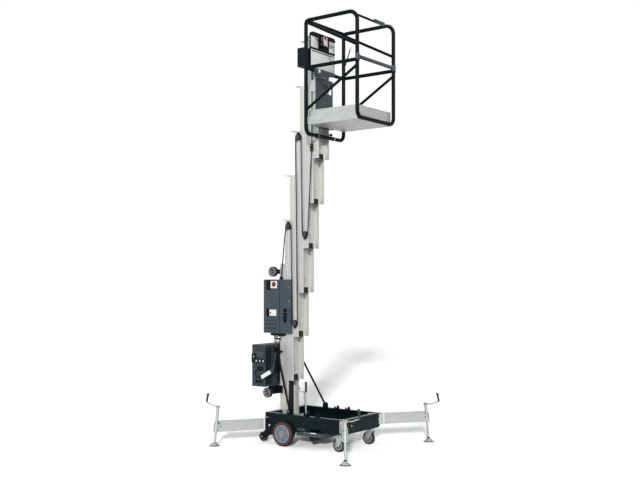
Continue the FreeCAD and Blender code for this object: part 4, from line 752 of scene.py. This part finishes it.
def makeMastDetails():
    # The dark nylon strip down the base channel's web is painted shade: it stands in for the shadow
    # in the deep slot of the profile.
    slotShade = addBlock((mast["slotShadeX"][0], -mast["slotShadeHalf"], mast["slotShadeZ"][0]),
                     (mast["slotShadeX"][1], mast["slotShadeHalf"], mast["slotShadeZ"][1]), 0.0006, foreSide,
                     [(0.012, -0.0015)])
    keep(slotShade, "mastSlotShade", "chassis", "nylon")
    for index, body in enumerate(bodies):
        back = mast["back"] + index * mast["pitch"]
        low = mast["low"] + index * mast["rise"]
        top = low + (mast["lastLong"] if body == "platform" else mast["long"])
        if body != "chassis":
            places = [(back + mast["wallX"], mast["boltY"], low + up) for up in mast["boltUp"]]
            addBolts("wallBolts.%d" % index, body, "brownBolt", foreSide, places, 0.0065, 0.0025)
        if body not in ("chassis", "platform"):
            tongue = addBlock((back - mast["tongueBack"], -mast["tongueHalf"], top),
                              (back + mast["tongueFore"], mast["tongueHalf"],
                               top + mast["tongueThick"]), 0.0006, upward, [(0.004, 0.0004)])
            keep(tongue, "topTongue.%d" % index, body, "zinc_steel")
        # The strips in the grooves of each channel are painted shade: their darker grooveShade
        # finish stands in for the shadow down each groove.
        strips = []
        for sign in (-1, 1):
            floor = mast["grooveFloor"]
            edges = sorted((sign * floor, sign * (floor + mast["stripThick"])))
            for start in mast["grooves"]:
                near = back + start + mast["stripGap"]
                far = back + start + mast["grooveWide"] - mast["stripGap"]
                strips.append(addBlock((near, edges[0], low + mast["stripShort"]),
                                       (far, edges[1], top - mast["stripShort"]), 0.0001,
                                       (0, sign, 0), [(0.0006, 0.0003)]))
        keep(joined(strips), "grooveShadeStrips.%d" % index, body, "grooveShade")
    for side, sign in sides:
        out = (0, sign, 0)
        addBolts("baseHeadBolts." + side, "chassis", "whitePlate", out,
                 [(x, sign * y, z) for x, y, z in mast["headBolts"]], 0.007, 0.002, 16)
        addBolts("baseSideBolts." + side, "chassis", "brownBolt", out,
                 [(x, sign * y, z) for x, y, z in mast["sideBolts"]], 0.008, 0.002)


# Cables over the pulleys on the machine's right: x and z of each pulley, and the reach of each run
pulleys = [(-0.389, 2.346), (-0.296, 1.295), (-0.251, 3.308), (-0.158, 2.257)]
cable = {
    "lines": [("cable", -0.1105, 0.0048), ("wire", -0.1175, 0.0024)],  # kind, y and radius
    "turn": 0.0365, "turnSteps": 12,
    "start": (-0.490, 1.770), "clip": (-0.068, 3.192), "anchor": (-0.064, 3.785),
    "clipHalf": 0.014, "clipY": (-0.124, -0.0995), "clipZ": (-0.045, 0.030),
    "clipBoltUp": (-0.030, 0.014), "boltY": -0.127,
    "footHalf": 0.015, "footY": (-0.122, -0.1005), "footZ": (-0.004, 0.030),
    "capY": -0.1235, "rimY": -0.1245, "boltBack": 0.008, "boltUp": 0.004,
    "lead": [(-0.068, -0.1085, 3.895), (-0.070, -0.1085, 3.960), (-0.060, -0.112, 4.020),
             (-0.030, -0.118, 4.100), (-0.010, -0.110, 4.200), (0.004, -0.100, 4.280),
             (0.012, -0.095, 4.300)],
    "leadRadius": 0.006,
}


def makeCables():
    runs = []
    last, lastBody = cable["start"], "chassis"
    for index, (x, z) in enumerate(pulleys):
        body = bodies[index + 1]
        runs.append((last, (x - cable["turn"], z), lastBody, body))
        over = 1 if index % 2 == 0 else -1  # over the first and third pulley, under the others
        arc = []
        for step in range(cable["turnSteps"] + 1):
            angle = math.radians(180 - 180 * step / cable["turnSteps"])
            arc.append((x + cable["turn"] * math.cos(angle),
                        z + over * cable["turn"] * math.sin(angle)))
        for kind, y, radius in cable["lines"]:
            piece = addTube([(px, y, pz) for px, pz in arc], radius)
            keep(piece, "%sTurn.%d" % (kind, index + 1), body, "black_plastic")
        last, lastBody = (x + cable["turn"], z), body
    runs.append((last, cable["clip"], "section_4", "section_5"))
    runs.append((cable["clip"], cable["anchor"], "section_5", "platform"))
    for index, (low, high, first, second) in enumerate(runs):
        for kind, y, radius in cable["lines"]:
            start, end = (low[0], y, low[1]), (high[0], y, high[1])
            piece = addTube([start, end], radius)
            keep(piece, "%sRun.%d" % (kind, index + 1), None, "black_plastic")
            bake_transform(piece)
    x, z = cable["clip"]
    clip = addBlock((x - cable["clipHalf"], cable["clipY"][0], z + cable["clipZ"][0]),
                    (x + cable["clipHalf"], cable["clipY"][1], z + cable["clipZ"][1]), 0.004,
                    nearSide, [(0.005, 0.003)])
    keep(clip, "cableClip", "section_5", "nylon")
    addBolts("cableClipBolts", "section_5", "goldBolt", nearSide,
             [(x, cable["boltY"], z + up) for up in cable["clipBoltUp"]], 0.005, 0.0025)
    x, z = cable["start"]
    foot = addBlock((x - cable["footHalf"], cable["footY"][0], z + cable["footZ"][0]),
                    (x + cable["footHalf"], cable["footY"][1], z + cable["footZ"][1]), 0.003,
                    nearSide, [(0.004, 0.002)])
    keep(foot, "cableFoot", "chassis", "nylon")
    for index, (x, z) in enumerate(pulleys):
        body = bodies[index + 1]
        cap = addTurned((x, cable["capY"], z), nearSide, 0.024, 0.003,
                        [(0.004, 0.0015), (0.006, -0.001)], 0.0008, 28)
        keep(cap, "pulleyCap.%d" % (index + 1), body, "grey_steel")
        rim = addRing((x, cable["rimY"], z), nearSide, 0.0285, 0.009, 0.006)
        keep(rim, "pulleyRim.%d" % (index + 1), body, "nylon")
        addBolts("pulleyBolt.%d" % (index + 1), body, "brownBolt", nearSide,
                 [(x - cable["boltBack"], cable["boltY"], z + cable["boltUp"])], 0.005, 0.002)
    lead = addTube(cable["lead"], cable["leadRadius"], True)
    keep(lead, "consoleLead", "platform", "black_plastic")


makeMastDetails()
makeCables()
print("mast dressed")

# Chassis: bolts, pins and the drum under the tray. A mirrored plate has its name, finish, reach
# along X, reach out from the middle, reach in height, softened edge and steps
chassis = {
    "side": 0.350, "strutBolt": (-0.203, 0.342, 0.369), "sideBoltX": (0.008, 0.291),
    "sideBoltZ": 0.261, "pinX": -0.452, "pinZ": 0.203, "capY": 0.3575, "ringY": 0.3505,
    "mirrored": [
        ("latchBar", "hubLight", (-0.535, -0.478), (0.350, 0.3525), (0.279, 0.287), 0.0012,
         [(0.002, 0.001)]),
        ("trayLip", "whitePlate", (-0.020, 0.150), (0.322, 0.325), (0.161, 0.170), 0.001,
         [(0.002, 0.001)]),
        ("lowWheelArm", "black_paint", (-0.602, -0.534), (0.070, 0.196), (0.514, 0.600), 0.004,
         [(0.010, -0.004)]),
        ("lowWheelPlate", "black_paint", (-0.536, -0.4695), (0.0775, 0.112), (0.522, 0.600), 0.002,
         [(0.010, -0.002)]),
        ("lowWheelEdge", "goldBolt", (-0.470, -0.463), (0.0995, 0.112), (0.522, 0.600), 0.001,
         [(0.0015, 0.0005)]),
    ],
    "knobs": [
        ("trayDrum", "black_plastic", (0.083, -0.300, 0.118), (0, 1, 0), 0.042, 0.600,
         [(0.006, 0.004)], 0.003, 32),
    ],
}


def makeChassisDetails():
    for side, sign in sides:
        out = (0, sign, 0)
        x, y, z = chassis["strutBolt"]
        addBolts("strutFootBolt." + side, "chassis", "goldBolt", out, [(x, sign * y, z)],
                 0.0085, 0.004)
        addBolts("sideBolts." + side, "chassis", "brownBolt", out,
                 [(x, sign * chassis["side"], chassis["sideBoltZ"]) for x in chassis["sideBoltX"]],
                 0.0065, 0.003)
        pin = (chassis["pinX"], sign * chassis["capY"], chassis["pinZ"])
        addBolts("pinCap." + side, "chassis", "whitePlate", out, [pin], 0.0095, 0.003, 20)
        ring = addRing((chassis["pinX"], sign * chassis["ringY"], chassis["pinZ"]), out,
                       0.0135, 0.004, 0.003, 24)
        keep(ring, "pinRing." + side, "chassis", "nylon")
        for name, paint, alongX, outward, upZ, soft, steps in chassis["mirrored"]:
            edges = sorted(sign * y for y in outward)
            plate = addBlock((alongX[0], edges[0], upZ[0]), (alongX[1], edges[1], upZ[1]), soft,
                             out, steps)
            keep(plate, name + "." + side, "chassis", paint)
    addKnobs("chassis", chassis["knobs"])


makeChassisDetails()
print("chassis dressed")

# Console: blank placards, switches and what hangs beside it
console = {
    "front": 0.024, "placards": [
        ("consolePlacardLeft", (-0.247, 4.226), (-0.121, 4.346)),
        ("consolePlacardUpper", (0.076, 4.300), (0.166, 4.348)),
        ("consolePlacardRight", (0.076, 4.228), (0.166, 4.294)),
        ("consolePlacardLow", (-0.245, 4.016), (0.170, 4.205)),
    ],
    "plates": [
        # The stripe is a slightly proud ledge whose dark hub_grey colour is painted shade for the
        # shadow gap between the upper and lower placards.
        ("consoleLedgeShade", "hub_grey", (0.025, -0.236, 4.182), (0.0272, 0.162, 4.197), 0.0006,
         foreSide, [(0.002, 0.0004)]),
        ("controlFace", "whitePlate", (0.090, -0.112, 4.252), (0.0925, -0.042, 4.352), 0.0008,
         foreSide, [(0.004, 0.0006)]),
        ("consoleRib", "black_plastic", (0.0252, 0.062, 4.212), (0.030, 0.070, 4.350), 0.001,
         foreSide, [(0.002, 0.001)]),
        ("consoleClamp", "plate_aluminium", (0.008, -0.322, 4.282), (0.016, -0.250, 4.332), 0.002,
         foreSide, [(0.010, -0.002)]),
        ("railLatch", "whitePlate", (0.058, -0.158, 3.962), (0.066, -0.130, 3.996), 0.002,
         foreSide, [(0.005, 0.002)]),
    ],
    "knobs": [
        ("consoleDot", "blueDot", (0.0254, 0.094, 4.276), foreSide, 0.0115, 0.0020,
         [(0.002, 0.0005)], 0.0004, 24),
        ("stopNeck", "nylon", (0.091, -0.097, 4.338), foreSide, 0.010, 0.010, [(0.002, 0.002)],
         0.001, 24),
        ("platformStop", "redKnob", (0.101, -0.097, 4.338), foreSide, 0.0185, 0.010,
         [(0.004, 0.004)], 0.003, 32),
    ],
    "toggleX": 0.078, "toggleY": -0.117, "toggleZ": (4.270, 4.292, 4.314, 4.336),
    "toggleRadius": 0.0036, "hangLoop": [(0.052, 0.120, 3.905), (0.056, 0.118, 3.885),
                                         (0.056, 0.128, 3.866), (0.056, 0.142, 3.880),
                                         (0.052, 0.144, 3.905)],
    "loopRadius": 0.004,
}


def makeConsoleDetails():
    front = console["front"]
    for name, low, high in console["placards"]:
        plate = addBlock((front - 0.001, *low), (front + 0.0015, *high), 0.0008, foreSide,
                         [(0.004, 0.0006)])
        keep(plate, name, "platform", "whitePlate")
    addPlates("platform", console["plates"])
    addKnobs("platform", console["knobs"])
    toggles = [addTurned((console["toggleX"], console["toggleY"], z), nearSide,
                         console["toggleRadius"], 0.008, [(0.001, 0.003)], 0.0005, 16)
               for z in console["toggleZ"]]
    keep(joined(toggles), "controlToggles", "platform", "whitePlate")
    loop = addTube(console["hangLoop"], console["loopRadius"], True)
    keep(loop, "hangLoop", "platform", "zinc_steel")


# Cage: sleeves and clamps on the tubes, the safety stay and the ribs of the floor
cage = {
    "gateKnobs": [
        ("gateTube", "grey_steel", (0.6852, -0.305, 4.012), (0, 1, 0), 0.0185, 0.610,
         [(0.003, 0.002)], 0.002, 28),
    ],
    "knobs": [
        ("frontBarSleeve", "grey_steel", (0.6795, -0.020, 4.442), (0, 1, 0), 0.0175, 0.165,
         [(0.003, 0.003), (0.001, -0.006)], 0.002, 24),
        ("safetyStayTip", "whitePlate", (0.126, 0.332, 4.296), (0.37, 0, 0.93), 0.0085, 0.030,
         [(0.002, 0.003)], 0.001, 16),
    ],
    "underX": 0.031, "underZ": 3.297, "clampY": (-0.150, -0.134), "bandY": 0.150, "knobY": 0.104,
    "stemZ": 3.312, "knobZ": 3.326, "postBoltX": 0.012, "postBoltY": 0.340,
    "postBoltZ": (3.519, 3.430), "stay": [(0.031, 0.336, 4.060), (0.128, 0.332, 4.300)],
    "stayRadius": 0.006, "ribCount": 11, "ribFrom": 0.085, "ribPitch": 0.0545, "ribHalf": 0.004,
    "ribLong": 0.300, "ribZ": (3.4185, 3.4205),
}


def makeCageDetails():
    x, z = cage["underX"], cage["underZ"]
    addKnobs("gate", cage["gateKnobs"])
    addKnobs("platform", cage["knobs"])
    clamp = [addRing((x, y, z), (0, 1, 0), 0.0245, 0.010, 0.012, 28) for y in cage["clampY"]]
    keep(joined(clamp), "underClamp", "platform", "grey_steel")
    band = addRing((x, cage["bandY"], z), (0, 1, 0), 0.0215, 0.005, 0.014, 28)
    keep(band, "underBand", "platform", "whitePlate")
    stem = addTurned((x, cage["knobY"], cage["stemZ"]), upward, 0.008, 0.014, [(0.002, 0.002)],
                     0.001, 16)
    knob = addTurned((x, cage["knobY"], cage["knobZ"]), upward, 0.018, 0.018, [(0.005, 0.004)],
                     0.003, 24)
    keep(joined([stem, knob]), "underKnob", "platform", "black_plastic")
    for side, sign in sides:
        addBolts("postBolts." + side, "platform", "whitePlate", (-1, 0, 0),
                 [(cage["postBoltX"], sign * cage["postBoltY"], z) for z in cage["postBoltZ"]],
                 0.009, 0.012)
    stay = addTube(cage["stay"], cage["stayRadius"])
    keep(stay, "safetyStay", "platform", "black_plastic")
    ribs = []
    for index in range(cage["ribCount"]):
        x = cage["ribFrom"] + index * cage["ribPitch"]
        ribs.append(addBlock((x - cage["ribHalf"], -cage["ribLong"], cage["ribZ"][0]),
                             (x + cage["ribHalf"], cage["ribLong"], cage["ribZ"][1]), 0.0006,
                             upward, [(0.001, 0.0004)]))
    keep(joined(ribs), "floorRibs", "platform", "plate_aluminium")


makeConsoleDetails()
makeCageDetails()
print("platform dressed")
